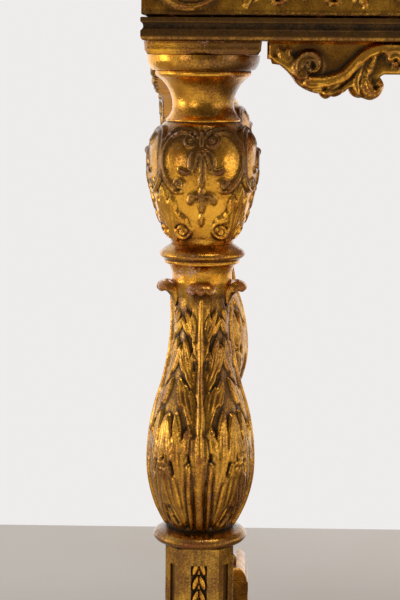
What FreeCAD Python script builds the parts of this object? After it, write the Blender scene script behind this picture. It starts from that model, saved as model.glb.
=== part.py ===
import FreeCAD, Part
import os
from FreeCAD import Vector

# Baroque giltwood pier table with a loose marble slab.
# +X runs along the front to the right, -Y is the front and +Z is up.
# The origin is on the floor under the middle of the slab. Lengths are millimetres.

# Plan of the table
leg_spacing_x = 1080.0
leg_spacing_y = 553.0
slab_overhang = 19.5
slab_back_overhang = 5.5

# Marble slab
slab_thickness = 27.0
slab_lip_height = 7.0
slab_lip_inset = 6.0
slab_nose_inset = 8.0
slab_nose_bulge_depth = 4.0

# Frame of rails and corner posts
rail_thickness = 28.0
back_rail_rise_height = 10.0
rail_tenon_length = 26.0
rail_tenon_thickness = 10.0
rail_tenon_shoulder_height = 15.0
bearer_width = 55.0
bearer_height = 40.0
bearer_spacing = 380.0
bearer_lap_depth = 16.0
bearer_lap_height = 22.0
bearer_lap_flare_width = 6.0

# Lower moulding, frieze board and cornice, built out from the rails
facing_thickness = 14.0
moulding_overhang = 2.0
moulding_height = 18.0
moulding_edge_radius = 3.6
moulding_lower_fascia_height = 4.4
moulding_upper_fascia_height = 4.0
moulding_hollow_width = 0.8
moulding_hollow_depth = 1.4
frieze_height = 64.0
frieze_setback = 0.6
frieze_groove_height = 1.6
frieze_groove_depth = 4.0
cornice_height = 21.0
cornice_step_width = 1.4
cornice_fillet_height = 3.0
cornice_lip_height = 5.5
cornice_lip_width = 1.6
cornice_projection_depth = 11.5

# Aprons under the frieze
apron_thickness = 18.0
apron_setback = 7.0
apron_gap = 4.0
apron_band_height = 25.0
apron_bracket_width = 91.0
apron_bracket_drop = 44.6
apron_scroll_relief = 5.0
apron_stem_width = 8.0
apron_volute_radius = 11.0
apron_eye_radius = 4.5
apron_eye_relief = 2.0
front_pendant_width = 300.0
front_pendant_drop = 96.0
side_pendant_width = 252.0
side_pendant_drop = 92.0
petal_count = 9
petal_angle = 20.0
petal_width = 24.0
petal_relief_height = 4.0
glue_block_length = 44.0
front_block_count = 6
side_block_count = 3
glue_block_width = 14.0

# Square abacus at the head of each leg
abacus_width = 93.0
abacus_height = 11.0
abacus_fillet_height = 1.8
abacus_fillet_inset = 1.0

# Turned head of the leg: echinus, hollow neck and carved vase
echinus_height = 12.0
echinus_radius = 45.5
echinus_foot_radius = 41.0
neck_roll_height = 5.6
neck_roll_radius = 39.0
neck_top_radius = 36.5
neck_roll_foot_radius = 38.0
neck_radius = 24.8
neck_height = 33.0
neck_waist_drop = 22.5
bead_height = 2.2
bead_radius = 30.4
vase_height = 99.2
vase_shoulder_radius = 29.5
vase_radius = 45.4
vase_belly_drop = 28.6
vase_foot_radius = 25.0
cartouche_count = 4
cartouche_width = 64.0
cartouche_height = 46.0
cartouche_level_height = 69.5
strap_width = 5.0
strap_relief_height = 1.6
strap_top_gap_width = 14.0
strap_low_gap_width = 30.0
volute_top_radius = 5.8
volute_low_radius = 4.8

# Acanthus baluster with its collar above and its ring below
collar_height = 12.0
collar_seat_radius = 25.5
collar_radius = 35.0
collar_edge_radius = 32.0
collar_slope_height = 4.2
collar_nose_height = 6.0
collar_fillet_height = 3.6
collar_fillet_radius = 31.0
cove_height = 9.4
cove_top_radius = 29.6
leaf_neck_radius = 24.6
leaf_neck_height = 33.0
waist_radius = 23.4
waist_height = 123.0
waist_bend_share = 0.53
belly_radius = 43.3
belly_height = 55.0
baluster_foot_radius = 26.5
ring_height = 14.0
ring_radius = 38.8
ring_edge_radius = 35.5
ring_fillet_radius = 29.0
ring_fillet_height = 2.0
ring_slope_height = 3.0
leaf_count = 4
leaf_rib_width = 7.0
leaf_rib_height = 2.4
leaf_blade_width = 60.0
leaf_blade_height = 1.4
leaf_tip_width = 27.0
leaf_tip_radius = 36.0
leaf_tip_drop = 3.0
leaf_tip_length = 31.0
leaf_tip_thickness = 9.0
leaf_tip_nose_radius = 2.4

# Eight-sided pillar
pillar_height = 183.0
pillar_width = 56.0
pillar_chamfer_width = 12.0
pillar_panel_count = 4
pillar_panel_width = 13.0
pillar_panel_depth = 2.0
pillar_panel_margin = 14.0
pillar_flute_width = 5.0
pillar_flute_depth = 1.6
pillar_foot_height = 8.0
pillar_foot_spread_width = 6.0
pillar_foot_slope_height = 6.0

# Plinth block and bun foot
plinth_width = 95.0
plinth_height = 47.0
plinth_moulding_height = 13.0
plinth_moulding_inset = 9.0
plinth_step_width = 1.6
foot_height = 45.0
foot_radius = 46.0
foot_base_radius = 27.0
foot_belly_height = 21.0
foot_bun_height = 38.0
foot_neck_radius = 31.0
foot_collar_height = 4.0
foot_collar_radius = 36.0

# Spigots of the leg, and the pegs that lock them
head_spigot_radius = 14.0
head_spigot_length = 56.0
vase_spigot_radius = 11.0
vase_spigot_length = 30.0
pillar_spigot_radius = 13.0
pillar_spigot_length = 30.0
plinth_spigot_radius = 13.0
plinth_spigot_length = 20.0
foot_spigot_radius = 12.0
foot_spigot_length = 18.0
peg_radius = 4.0
peg_length = 52.0
peg_height = 36.0
fit_width = 0.1
socket_spare_depth = 1.0

# Flat serpentine stretcher between plinths and feet: arms, boss and finial
arm_width = 62.0
arm_base_height = 13.0
arm_step_width = 4.0
arm_step_height = 9.0
arm_pad_radius = 46.5
arm_lean = 50.0
arm_bend_share = 0.5
arm_tenon_width = 24.0
arm_tenon_height = 9.0
arm_tenon_length = 24.0
arm_landing_width = 30.0
boss_length = 200.0
boss_width = 150.0
boss_cap_height = 7.0
boss_cap_inset = 12.0
finial_height = 118.0
finial_foot_radius = 30.0
finial_foot_height = 6.0
finial_stem_radius = 9.0
finial_stem_height = 22.0
finial_cup_radius = 29.0
finial_cup_height = 40.0
finial_neck_radius = 13.0
finial_lid_radius = 21.0
finial_lid_height = 8.0
finial_knob_radius = 8.0
finial_tip_radius = 1.0
finial_spigot_radius = 8.0
finial_spigot_length = 24.0

# One overrun serves every cut, and a full turn spins a profile
overrun = 5.0
full_turn = 360.0

# Left half of an apron bracket: shares of its width and of its drop, as arcs of start, middle and end
apron_end_shares = [(0.0, 0.31), (0.03, 0.31), (0.042, 0.39), (0.105, 0.41)]
apron_arc_shares = [
    [(0.105, 0.41), (0.185, 0.55), (0.248, 0.72)],
    [(0.248, 0.72), (0.34, 0.845), (0.451, 0.906)],
    [(0.451, 0.906), (0.493, 0.99), (0.549, 0.946)],
    [(0.549, 0.946), (0.61, 0.935), (0.70, 0.805)],
    [(0.70, 0.805), (0.745, 0.945), (0.814, 0.965)],
    [(0.814, 0.965), (0.91, 1.0), (0.985, 0.87)],
    [(0.985, 0.87), (1.0, 0.74), (0.963, 0.604)],
]
# Left half of a pendant: shares of its half width and of what it drops below the band
pendant_arc_shares = [
    [(1.0, 0.0), (0.96, 0.22), (0.885, 0.34)],
    [(0.885, 0.34), (0.70, 0.40), (0.55, 0.55)],
    [(0.55, 0.55), (0.46, 0.73), (0.30, 0.76)],
    [(0.30, 0.76), (0.20, 0.96), (0.0, 1.0)],
]
# Right half of an acanthus leaf: shares of its half width and of the body's height, as arcs that swell to
# the tip of each lobe, each followed by a straight cut back to the notch where the next lobe starts
leaf_lobe_shares = [
    [(0.55, 0.0), (0.92, 0.13), (0.98, 0.30)],
    [(0.70, 0.27), (0.90, 0.36), (0.88, 0.50)],
    [(0.60, 0.45), (0.76, 0.54), (0.70, 0.66)],
    [(0.46, 0.60), (0.58, 0.68), (0.54, 0.79)],
    [(0.34, 0.73), (0.45, 0.81), (0.42, 0.91)],
]
leaf_top_share = 0.25
# Apron relief: ends of the stem and the volute as shares of the bracket's width and drop
stem_start_shares = (0.40, 0.62)
stem_end_shares = (1.06, 0.16)
stem_bend_share = 0.45
volute_shares = (0.40, 0.38)

# Levels, from the floor up
stretcher_bottom = foot_height
plinth_bottom = stretcher_bottom + arm_base_height + arm_step_height
pillar_bottom = plinth_bottom + plinth_height
baluster_bottom = pillar_bottom + pillar_height
body_bottom = baluster_bottom + ring_height
belly_level = body_bottom + belly_height
waist_level = belly_level + waist_height
cove_bottom = waist_level + leaf_neck_height
cove_top = cove_bottom + cove_height
collar_bottom = cove_top + collar_fillet_height
head_bottom = collar_bottom + collar_height
bead_bottom = head_bottom + vase_height
neck_bottom = bead_bottom + bead_height
neck_top = neck_bottom + neck_height
echinus_bottom = neck_top + neck_roll_height
abacus_bottom = echinus_bottom + echinus_height
frame_bottom = abacus_bottom + abacus_height
frieze_bottom = frame_bottom + moulding_height
frieze_top = frieze_bottom + frieze_height
frame_top = frieze_top + cornice_height

# Distances out from a leg's axis
abacus_half = abacus_width / 2
moulding_face = abacus_half + moulding_overhang
post_half = moulding_face - facing_thickness
frieze_face = moulding_face - frieze_setback
cornice_foot = frieze_face + cornice_step_width
cornice_face = frieze_face + cornice_projection_depth
apron_face = moulding_face - apron_setback
apron_back = apron_face - apron_thickness

# Plan places
slab_width = leg_spacing_x + 2 * (moulding_face + slab_overhang)
slab_depth = leg_spacing_y + moulding_face + slab_overhang + abacus_half + slab_back_overhang
leg_x = leg_spacing_x / 2
front_leg_y = moulding_face + slab_overhang - slab_depth / 2
back_leg_y = front_leg_y + leg_spacing_y
back_face = back_leg_y + abacus_half
legs_middle = (front_leg_y + back_leg_y) / 2
corners = {
    "front_left": (-1, -1),
    "front_right": (1, -1),
    "back_left": (-1, 1),
    "back_right": (1, 1),
}
along_x = Vector(1, 0, 0)
along_y = Vector(0, 1, 0)
along_z = Vector(0, 0, 1)
origin = Vector(0, 0, 0)


def block(low, high):
    """A rectangular block between two opposite corners."""
    size = Vector(*high) - Vector(*low)
    return Part.makeBox(size.x, size.y, size.z, Vector(*low))


def rod(radius, low, high):
    """A round rod about the Z axis between two levels."""
    return Part.makeCylinder(radius, high - low, Vector(0, 0, low))


def tangent_middle(held, other, normal):
    """The middle of the arc between two points that is square to a normal at the held point."""
    chord = other - held
    radius = chord.dot(chord) / (2 * chord.dot(normal))
    centre = held + normal * radius
    halfway = (held - centre) + (other - centre)
    return centre + halfway.normalize() * abs(radius)


class Profile:
    """An outline drawn edge by edge in the XZ plane: radius along X, level along Z."""

    def __init__(self, x, z):
        self.start = Vector(x, 0, z)
        self.end = self.start
        self.edges = []

    def line(self, x, z):
        """A straight edge to a point."""
        point = Vector(x, 0, z)
        self.edges.append(Part.LineSegment(self.end, point).toShape())
        self.end = point
        return self

    def arc(self, middle, end):
        """An arc through a middle point to an end point."""
        stop = Vector(end[0], 0, end[1])
        self.edges.append(Part.Arc(self.end, Vector(middle[0], 0, middle[1]), stop).toShape())
        self.end = stop
        return self

    def upright_at_start(self, x, z):
        """An arc that leaves the last point upright."""
        stop = Vector(x, 0, z)
        middle = tangent_middle(self.end, stop, along_x)
        return self.arc((middle.x, middle.z), (x, z))

    def upright_at_end(self, x, z):
        """An arc that reaches its end upright."""
        stop = Vector(x, 0, z)
        middle = tangent_middle(stop, self.end, along_x)
        return self.arc((middle.x, middle.z), (x, z))

    def ogee(self, x, z, bend_share):
        """Two tangent arcs, upright at both ends, that meet at a share of the chord."""
        stop = Vector(x, 0, z)
        meet = self.end + (stop - self.end) * bend_share
        self.upright_at_start(meet.x, meet.z)
        return self.upright_at_end(x, z)

    def face(self):
        """The closed outline as a face."""
        self.line(self.start.x, self.start.z)
        return Part.Face(Part.Wire(self.edges))

    def both_halves(self):
        """The outline, which starts and ends at X zero, closed by its mirror image as one face."""
        other_half = [edge.mirror(origin, along_x) for edge in self.edges]
        return Part.Face(Part.Wire(Part.sortEdges(self.edges + other_half)[0]))

    def spun(self):
        """The closed outline turned about the Z axis."""
        return self.face().revolve(origin, along_z, full_turn)


def mirrored(shape, side_x, side_y):
    """A front left piece, drawn about an upright axis, mirrored to the given sides."""
    if side_x > 0:
        shape = shape.mirror(origin, along_x)
    if side_y > 0:
        shape = shape.mirror(origin, along_y)
    return shape


def at_corner(shape, side_x, side_y):
    """Carry a piece drawn for the front left leg, about its axis, to the leg on the given sides."""
    placed = mirrored(shape.copy(), side_x, side_y)
    placed.translate(Vector(side_x * leg_x, front_leg_y if side_y < 0 else back_leg_y, 0))
    return placed


def about_legs(shape):
    """Carry a piece drawn about the Z axis to the middle between the legs."""
    placed = shape.copy()
    placed.translate(along_y * legs_middle)
    return placed


def moulded_block(half_profile, half):
    """A square block whose four sides carry one half profile, mitred at the corners."""
    run = half_profile.both_halves().extrude(along_y * (2 * half + 2 * overrun))
    run.translate(along_y * -(half + overrun))
    turned = run.copy()
    turned.rotate(origin, along_z, full_turn / 4)
    return run.common(turned)


def abacus():
    """The square abacus, with the head's spigot passing through it."""
    inset = abacus_half - abacus_fillet_inset
    profile = Profile(0, abacus_bottom).line(inset, abacus_bottom)
    profile.line(inset, abacus_bottom + abacus_fillet_height)
    profile.line(abacus_half, abacus_bottom + abacus_fillet_height)
    profile.line(abacus_half, frame_bottom).line(0, frame_bottom)
    hole = rod(head_spigot_radius + fit_width, abacus_bottom - overrun, frame_bottom + overrun)
    return moulded_block(profile, abacus_half).cut(hole)


def peg_hole(clearance):
    """The peg's bore across the post and the spigot."""
    level = frame_bottom + peg_height
    start = Vector(post_half - peg_length, 0, level)
    return Part.makeCylinder(peg_radius + clearance, peg_length + overrun, start, along_x)


def vase_body(profile, proud):
    """The vase's outline, drawn up from its foot and standing proud by a little."""
    profile.line(vase_foot_radius + proud, head_bottom)
    profile.upright_at_end(vase_radius + proud, bead_bottom - vase_belly_drop)
    return profile.upright_at_start(vase_shoulder_radius + proud, bead_bottom)


def cartouche():
    """The strapwork on one face of the vase: two C-scrolls, each with a volute at both ends."""
    level = head_bottom + cartouche_level_height
    top = level + cartouche_height / 2
    low = level - cartouche_height / 2
    near_top = strap_top_gap_width / 2
    near_low = strap_low_gap_width / 2
    reach = vase_radius + overrun
    profile = Profile(near_top, top).arc((cartouche_width / 2, level), (near_low, low))
    profile.line(near_low, low + strap_width)
    profile.arc((cartouche_width / 2 - strap_width, level), (near_top, top - strap_width))
    scroll = profile.face().extrude(along_y * reach)
    top_eye = Vector(near_top, 0, top - volute_top_radius)
    low_eye = Vector(near_low, 0, low + volute_low_radius)
    scroll = scroll.multiFuse([Part.makeCylinder(volute_top_radius, reach, top_eye, along_y),
                               Part.makeCylinder(volute_low_radius, reach, low_eye, along_y)])
    body = vase_body(Profile(0, head_bottom), strap_relief_height).line(0, bead_bottom).spun()
    return body.common(scroll.fuse(scroll.mirror(origin, along_x)))


def head():
    """The turned head: spigot, echinus, roll, hollow neck, bead and vase with its strapwork."""
    waist = neck_top - neck_waist_drop
    profile = vase_body(Profile(0, head_bottom), 0)
    profile.arc((bead_radius, bead_bottom + bead_height / 2), (vase_shoulder_radius, neck_bottom))
    profile.upright_at_end(neck_radius, waist)
    profile.upright_at_start(neck_top_radius, neck_top)
    profile.arc((neck_roll_radius, neck_top + neck_roll_height / 2), (neck_roll_foot_radius, echinus_bottom))
    profile.line(echinus_foot_radius, echinus_bottom)
    profile.upright_at_end(echinus_radius, abacus_bottom - abacus_fillet_height)
    profile.line(echinus_radius, abacus_bottom).line(head_spigot_radius, abacus_bottom)
    profile.line(head_spigot_radius, frame_bottom + head_spigot_length)
    profile.line(0, frame_bottom + head_spigot_length)
    socket_top = head_bottom + vase_spigot_length + socket_spare_depth
    socket = rod(vase_spigot_radius + fit_width, head_bottom - overrun, socket_top)
    carving = []
    for number in range(cartouche_count):
        piece = cartouche()
        piece.rotate(origin, along_z, full_turn * number / cartouche_count)
        carving.append(piece)
    solid = profile.spun().multiFuse(carving).removeSplitter()
    return solid.cut(socket).cut(peg_hole(fit_width))


def leaf_body(profile, proud):
    """The baluster's swelling body, drawn up from its foot and standing proud by a little."""
    profile.line(baluster_foot_radius + proud, body_bottom)
    profile.upright_at_end(belly_radius + proud, belly_level)
    return profile.ogee(waist_radius + proud, waist_level, 1 - waist_bend_share)


def leaf_rib():
    """The raised rib of one acanthus leaf, up the body to where the leaf's tip leaves it."""
    profile = leaf_body(Profile(0, body_bottom), leaf_rib_height).line(0, waist_level)
    rib = profile.face().extrude(along_y * leaf_rib_width)
    rib.translate(along_y * (-leaf_rib_width / 2))
    return rib


def leaf_blade():
    """One leaf's lobed blade: its outline cut from a body of revolution that stands proud of the baluster."""
    height = waist_level - body_bottom

    def lobe_point(shares):
        return (shares[0] * leaf_blade_width / 2, body_bottom + shares[1] * height)

    profile = Profile(0, body_bottom)
    for notch, middle, tip in leaf_lobe_shares:
        profile.line(*lobe_point(notch)).arc(lobe_point(middle), lobe_point(tip))
    profile.line(*lobe_point((leaf_top_share, 1))).line(0, waist_level)
    blade = profile.both_halves().extrude(along_y * (belly_radius + leaf_blade_height + overrun))
    blade.rotate(origin, along_z, -full_turn / 4)
    body = leaf_body(Profile(0, body_bottom), leaf_blade_height).line(0, waist_level).spun()
    return body.common(blade)


def leaf_tip():
    """The tip of one leaf, curling outwards, with its free edge cut round."""
    top = cove_bottom - leaf_tip_drop
    root = top - leaf_tip_length
    lip = top - leaf_tip_thickness
    nose = leaf_tip_radius - leaf_tip_nose_radius
    profile = Profile(waist_radius / 2, root).line(waist_radius, root)
    profile.upright_at_start(nose, lip)
    profile.arc((leaf_tip_radius, lip + leaf_tip_nose_radius), (nose, lip + 2 * leaf_tip_nose_radius))
    profile.upright_at_start(waist_radius, top).line(waist_radius / 2, top)
    tip = profile.face().extrude(along_y * leaf_tip_width)
    tip.translate(along_y * (-leaf_tip_width / 2))
    reach = leaf_tip_radius + overrun
    rounding = Part.makeCylinder(leaf_tip_width / 2, reach, Vector(0, 0, lip), along_x)
    skirt_low = (0, -leaf_tip_width / 2, root - overrun)
    skirt = block(skirt_low, (nose - leaf_tip_nose_radius, leaf_tip_width / 2, lip))
    return tip.common(rounding.fuse(skirt))


def baluster():
    """The turned baluster: spigot, collar, cove, leaf-clad body and lower ring."""
    ring_nose = baluster_bottom + ring_fillet_height
    profile = Profile(0, baluster_bottom - pillar_spigot_length)
    profile.line(pillar_spigot_radius, baluster_bottom - pillar_spigot_length)
    profile.line(pillar_spigot_radius, baluster_bottom).line(ring_fillet_radius, baluster_bottom)
    profile.line(ring_fillet_radius, ring_nose).line(ring_edge_radius, ring_nose)
    ring_top = body_bottom - ring_slope_height
    profile.arc((ring_radius, (ring_nose + ring_top) / 2), (ring_edge_radius, ring_top))
    leaf_body(profile, 0)
    profile.line(leaf_neck_radius, cove_bottom)
    profile.upright_at_start(cove_top_radius, cove_top)
    profile.line(collar_fillet_radius, cove_top).line(collar_fillet_radius, collar_bottom)
    edge_top = head_bottom - collar_slope_height
    profile.arc((collar_radius, collar_bottom + collar_nose_height / 2), (collar_edge_radius, edge_top))
    profile.line(collar_seat_radius, head_bottom).line(vase_spigot_radius, head_bottom)
    profile.line(vase_spigot_radius, head_bottom + vase_spigot_length)
    profile.line(0, head_bottom + vase_spigot_length)
    solid = profile.spun()
    carving = []
    for number in range(leaf_count):
        for piece in (leaf_blade(), leaf_rib(), leaf_tip()):
            piece.rotate(origin, along_z, full_turn * number / leaf_count)
            carving.append(piece)
    return solid.multiFuse(carving).removeSplitter()


def eight_sided(width, chamfer, low, high):
    """An upright block of square plan with its corners chamfered."""
    half = width / 2
    near = half - chamfer
    plan = [(half, near), (near, half), (-near, half), (-half, near),
            (-half, -near), (-near, -half), (near, -half), (half, -near)]
    wire = Part.makePolygon([Vector(x, y, low) for x, y in plan + plan[:1]])
    return Part.Face(wire).extrude(along_z * (high - low))


def eight_sided_slope(low_width, high_width, chamfer, low, high):
    """A sloping band between two eight-sided plans."""
    wires = []
    for width, level in ((low_width, low), (high_width, high)):
        slice_face = eight_sided(width, chamfer, level, level + overrun).Faces
        bottom = min(slice_face, key=lambda face: face.CenterOfMass.z)
        wires.append(bottom.OuterWire)
    return Part.makeLoft(wires, True, True)


def pillar():
    """The eight-sided pillar with sunk panels on its faces and flutes on its chamfers."""
    shaft_bottom = pillar_bottom + pillar_foot_height + pillar_foot_slope_height
    foot_width = pillar_width + 2 * pillar_foot_spread_width
    solid = eight_sided(pillar_width, pillar_chamfer_width, shaft_bottom, baluster_bottom)
    slope = eight_sided_slope(foot_width, pillar_width, pillar_chamfer_width,
                              pillar_bottom + pillar_foot_height, shaft_bottom)
    foot = eight_sided(foot_width, pillar_chamfer_width, pillar_bottom, pillar_bottom + pillar_foot_height)
    solid = solid.multiFuse([slope, foot]).removeSplitter()
    panel_low = shaft_bottom + pillar_panel_margin
    panel_high = baluster_bottom - pillar_panel_margin
    chamfer_face = (pillar_width - pillar_chamfer_width) / 2 ** 0.5
    cuts = []
    for number in range(pillar_panel_count):
        panel = block((pillar_width / 2 - pillar_panel_depth, -pillar_panel_width / 2, panel_low),
                      (pillar_width / 2 + overrun, pillar_panel_width / 2, panel_high))
        flute = block((chamfer_face - pillar_flute_depth, -pillar_flute_width / 2, panel_low),
                      (chamfer_face + overrun, pillar_flute_width / 2, panel_high))
        panel.rotate(origin, along_z, full_turn * number / pillar_panel_count)
        flute.rotate(origin, along_z, full_turn * (number + 1 / 2) / pillar_panel_count)
        cuts += [panel, flute]
    socket_end = baluster_bottom - pillar_spigot_length - socket_spare_depth
    socket = rod(pillar_spigot_radius + fit_width, socket_end, baluster_bottom + overrun)
    spigot = rod(plinth_spigot_radius, pillar_bottom - plinth_spigot_length, pillar_bottom)
    return solid.fuse(spigot).cut(Part.makeCompound(cuts)).cut(socket)


def plinth():
    """The plinth block, moulded on top, bored for the pillar's spigot and the foot's."""
    half = plinth_width / 2
    shoulder = pillar_bottom - plinth_moulding_height
    profile = Profile(0, plinth_bottom).line(half, plinth_bottom).line(half, shoulder)
    profile.line(half - plinth_step_width, shoulder)
    profile.upright_at_start(half - plinth_moulding_inset, pillar_bottom).line(0, pillar_bottom)
    solid = moulded_block(profile, half)
    socket_end = pillar_bottom - plinth_spigot_length - socket_spare_depth
    top_socket = rod(plinth_spigot_radius + fit_width, socket_end, pillar_bottom + overrun)
    low_socket = rod(foot_spigot_radius + fit_width, plinth_bottom - overrun,
                     plinth_bottom + foot_spigot_length + socket_spare_depth)
    return solid.cut(top_socket).cut(low_socket)


def bun_foot():
    """The turned bun foot, with a spigot that passes through the stretcher into the plinth."""
    collar = stretcher_bottom - foot_collar_height
    profile = Profile(0, 0).line(foot_base_radius, 0)
    profile.upright_at_end(foot_radius, foot_belly_height)
    profile.upright_at_start(foot_neck_radius, foot_bun_height)
    profile.line(foot_neck_radius, collar)
    profile.line(foot_collar_radius, collar).line(foot_collar_radius, stretcher_bottom)
    profile.line(foot_spigot_radius, stretcher_bottom)
    profile.line(foot_spigot_radius, plinth_bottom + foot_spigot_length)
    profile.line(0, plinth_bottom + foot_spigot_length)
    return profile.spun()


def rail_tenon(outer, clearance):
    """The tenon at the inner side of a post, along X, for a rail whose outer face lies at a distance."""
    middle = outer - rail_thickness / 2
    half = rail_tenon_thickness / 2 + clearance
    low = frame_bottom + rail_tenon_shoulder_height - clearance
    high = frame_top - rail_tenon_shoulder_height + clearance
    start = post_half - rail_tenon_length - (socket_spare_depth if clearance else 0)
    return block((start, -middle - half, low), (post_half, -middle + half, high))


def post(outer_y):
    """A corner post, bored for the leg's spigot and its peg, mortised for two rails."""
    solid = block((-post_half, -outer_y, frame_bottom), (post_half, post_half, frame_top))
    bore = rod(head_spigot_radius + fit_width, frame_bottom - overrun,
               frame_bottom + head_spigot_length + socket_spare_depth)
    long_mortise = rail_tenon(outer_y, fit_width)
    side_mortise = rail_tenon(post_half, fit_width)
    side_mortise = side_mortise.mirror(origin, Vector(1, -1, 0))
    return solid.cut(bore).cut(long_mortise).cut(side_mortise).cut(peg_hole(fit_width))


def long_rail(side_y):
    """The front or back rail between its posts, with a tenon at each end and laps for the bearers."""
    outer = post_half if side_y < 0 else abacus_half
    reach = leg_x - post_half
    low = frame_bottom if side_y < 0 else frame_bottom + back_rail_rise_height
    solid = block((-reach, -outer, low), (reach, rail_thickness - outer, frame_top))
    tenon = rail_tenon(outer, 0)
    tenon.translate(along_x * -leg_x)
    solid = solid.multiFuse([tenon, tenon.mirror(origin, along_x)]).removeSplitter()
    for side_x in (-1, 1):
        lap = bearer_lap(rail_thickness - outer, fit_width)
        lap.translate(along_x * (side_x * bearer_spacing / 2))
        solid = solid.cut(lap)
    if side_y > 0:
        solid = solid.mirror(origin, along_y)
    solid.translate(along_y * (front_leg_y if side_y < 0 else back_leg_y))
    return solid


def side_rail(side_x):
    """A side rail between its front and back posts, with a tenon at each end."""
    reach_front = front_leg_y + post_half
    reach_back = back_leg_y - post_half
    solid = block((-leg_x - post_half, reach_front, frame_bottom),
                  (-leg_x - post_half + rail_thickness, reach_back, frame_top))
    tenon = rail_tenon(post_half, 0).mirror(origin, Vector(1, -1, 0))
    front = at_corner(tenon, -1, -1)
    back = at_corner(tenon, -1, 1)
    solid = solid.multiFuse([front, back]).removeSplitter()
    return solid if side_x < 0 else solid.mirror(origin, along_x)


def bearer_lap(face_y, clearance):
    """The dovetailed lap at a bearer's front end, drawn into the rail from its inner face."""
    root = bearer_width / 2 - bearer_lap_flare_width + clearance
    flare = bearer_width / 2 + clearance
    back = face_y - bearer_lap_depth - clearance
    plan = [(-root, face_y), (root, face_y), (flare, back), (-flare, back)]
    low = frame_top - bearer_lap_height - clearance
    wire = Part.makePolygon([Vector(x, y, low) for x, y in plan + plan[:1]])
    high = frame_top + (overrun if clearance else 0)
    return Part.Face(wire).extrude(along_z * (high - low))


def bearer(side_x):
    """A cross bearer under the slab, lapped into the tops of the front and back rails."""
    front = front_leg_y + rail_thickness - post_half
    back = back_leg_y - rail_thickness + abacus_half
    half = bearer_width / 2
    solid = block((-half, front, frame_top - bearer_height), (half, back, frame_top))
    front_lap = bearer_lap(front, 0)
    back_lap = bearer_lap(-back, 0).mirror(origin, along_y)
    solid = solid.multiFuse([front_lap, back_lap]).removeSplitter()
    solid.translate(along_x * (side_x * bearer_spacing / 2))
    return solid


def strip(profile, side):
    """One side of a moulding round the frame, mitred at the front corners, from a profile drawn
    outwards from the leg's axis."""
    far = moulding_face + slab_overhang
    section = profile.face()
    if side == "front":
        run = section.extrude(along_y * (slab_width + 2 * overrun))
        run.rotate(origin, along_z, -full_turn / 4)
        run.translate(Vector(-slab_width / 2 - overrun, front_leg_y, 0))
        plan = [(-leg_x - far, front_leg_y - far), (leg_x + far, front_leg_y - far),
                (leg_x, front_leg_y), (-leg_x, front_leg_y)]
    else:
        run = section.extrude(along_y * (slab_depth + 2 * overrun))
        run = run.mirror(origin, along_x)
        run.translate(Vector(-leg_x, -slab_depth / 2 - overrun, 0))
        plan = [(-leg_x - far, front_leg_y - far), (-leg_x, front_leg_y),
                (-leg_x, back_face), (-leg_x - far, back_face)]
    wire = Part.makePolygon([Vector(x, y, 0) for x, y in plan + plan[:1]])
    solid = run.common(Part.Face(wire).extrude(along_z * (frame_top + overrun)))
    return solid.mirror(origin, along_x) if side == "right" else solid


def lower_moulding():
    """The moulding under the frieze: rounded edge, fascia, shallow hollow and fascia."""
    edge = moulding_face - moulding_edge_radius / 2
    hollow = moulding_face - moulding_hollow_width
    low = frame_bottom + moulding_edge_radius + moulding_lower_fascia_height
    high = frieze_bottom - moulding_upper_fascia_height
    profile = Profile(post_half, frame_bottom).line(edge, frame_bottom)
    profile.upright_at_end(moulding_face, frame_bottom + moulding_edge_radius)
    profile.line(moulding_face, low).line(hollow, low)
    profile.arc((hollow - moulding_hollow_depth, (low + high) / 2), (hollow, high))
    profile.line(moulding_face, high).line(moulding_face, frieze_bottom)
    return profile.line(post_half, frieze_bottom)


def frieze_board():
    """The frieze board, with the groove that parts it from the lower moulding."""
    groove = frieze_face - frieze_groove_depth
    top = frieze_bottom + frieze_groove_height
    profile = Profile(post_half, frieze_bottom).line(groove, frieze_bottom).line(groove, top)
    profile.line(frieze_face, top).line(frieze_face, frieze_top)
    return profile.line(post_half, frieze_top)


def cornice():
    """The cornice under the slab: fillet, ogee and lip."""
    lip = frame_top - cornice_lip_height
    profile = Profile(post_half, frieze_top).line(cornice_foot, frieze_top)
    profile.line(cornice_foot, frieze_top + cornice_fillet_height)
    profile.ogee(cornice_face - cornice_lip_width, lip, 1 / 2)
    profile.line(cornice_face, lip).line(cornice_face, frame_top)
    return profile.line(post_half, frame_top)


def ogee_band(start, end, width, bend_share):
    """A flat band in the XY plane along two tangent arcs that run along X at both ends."""
    meet = start + (end - start) * bend_share
    stations = [start, tangent_middle(start, meet, along_y), meet, tangent_middle(end, meet, along_y), end]
    turn = (stations[3] - stations[1]).normalize()
    lean = [along_y, (meet - start).cross(along_z), turn.cross(along_z),
            (end - meet).cross(along_z), along_y]
    sides = []
    for sign in (1, -1):
        points = []
        for station, normal in zip(stations, lean):
            unit = Vector(normal).normalize()
            if unit.y < 0:
                unit = unit * -1
            points.append(station + unit * (sign * width / 2))
        sides.append(points)
    left, right = sides
    edges = [
        Part.Arc(left[0], left[1], left[2]).toShape(),
        Part.Arc(left[2], left[3], left[4]).toShape(),
        Part.LineSegment(left[4], right[4]).toShape(),
        Part.Arc(right[4], right[3], right[2]).toShape(),
        Part.Arc(right[2], right[1], right[0]).toShape(),
        Part.LineSegment(right[0], left[0]).toShape(),
    ]
    return Part.Face(Part.Wire(edges))


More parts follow.
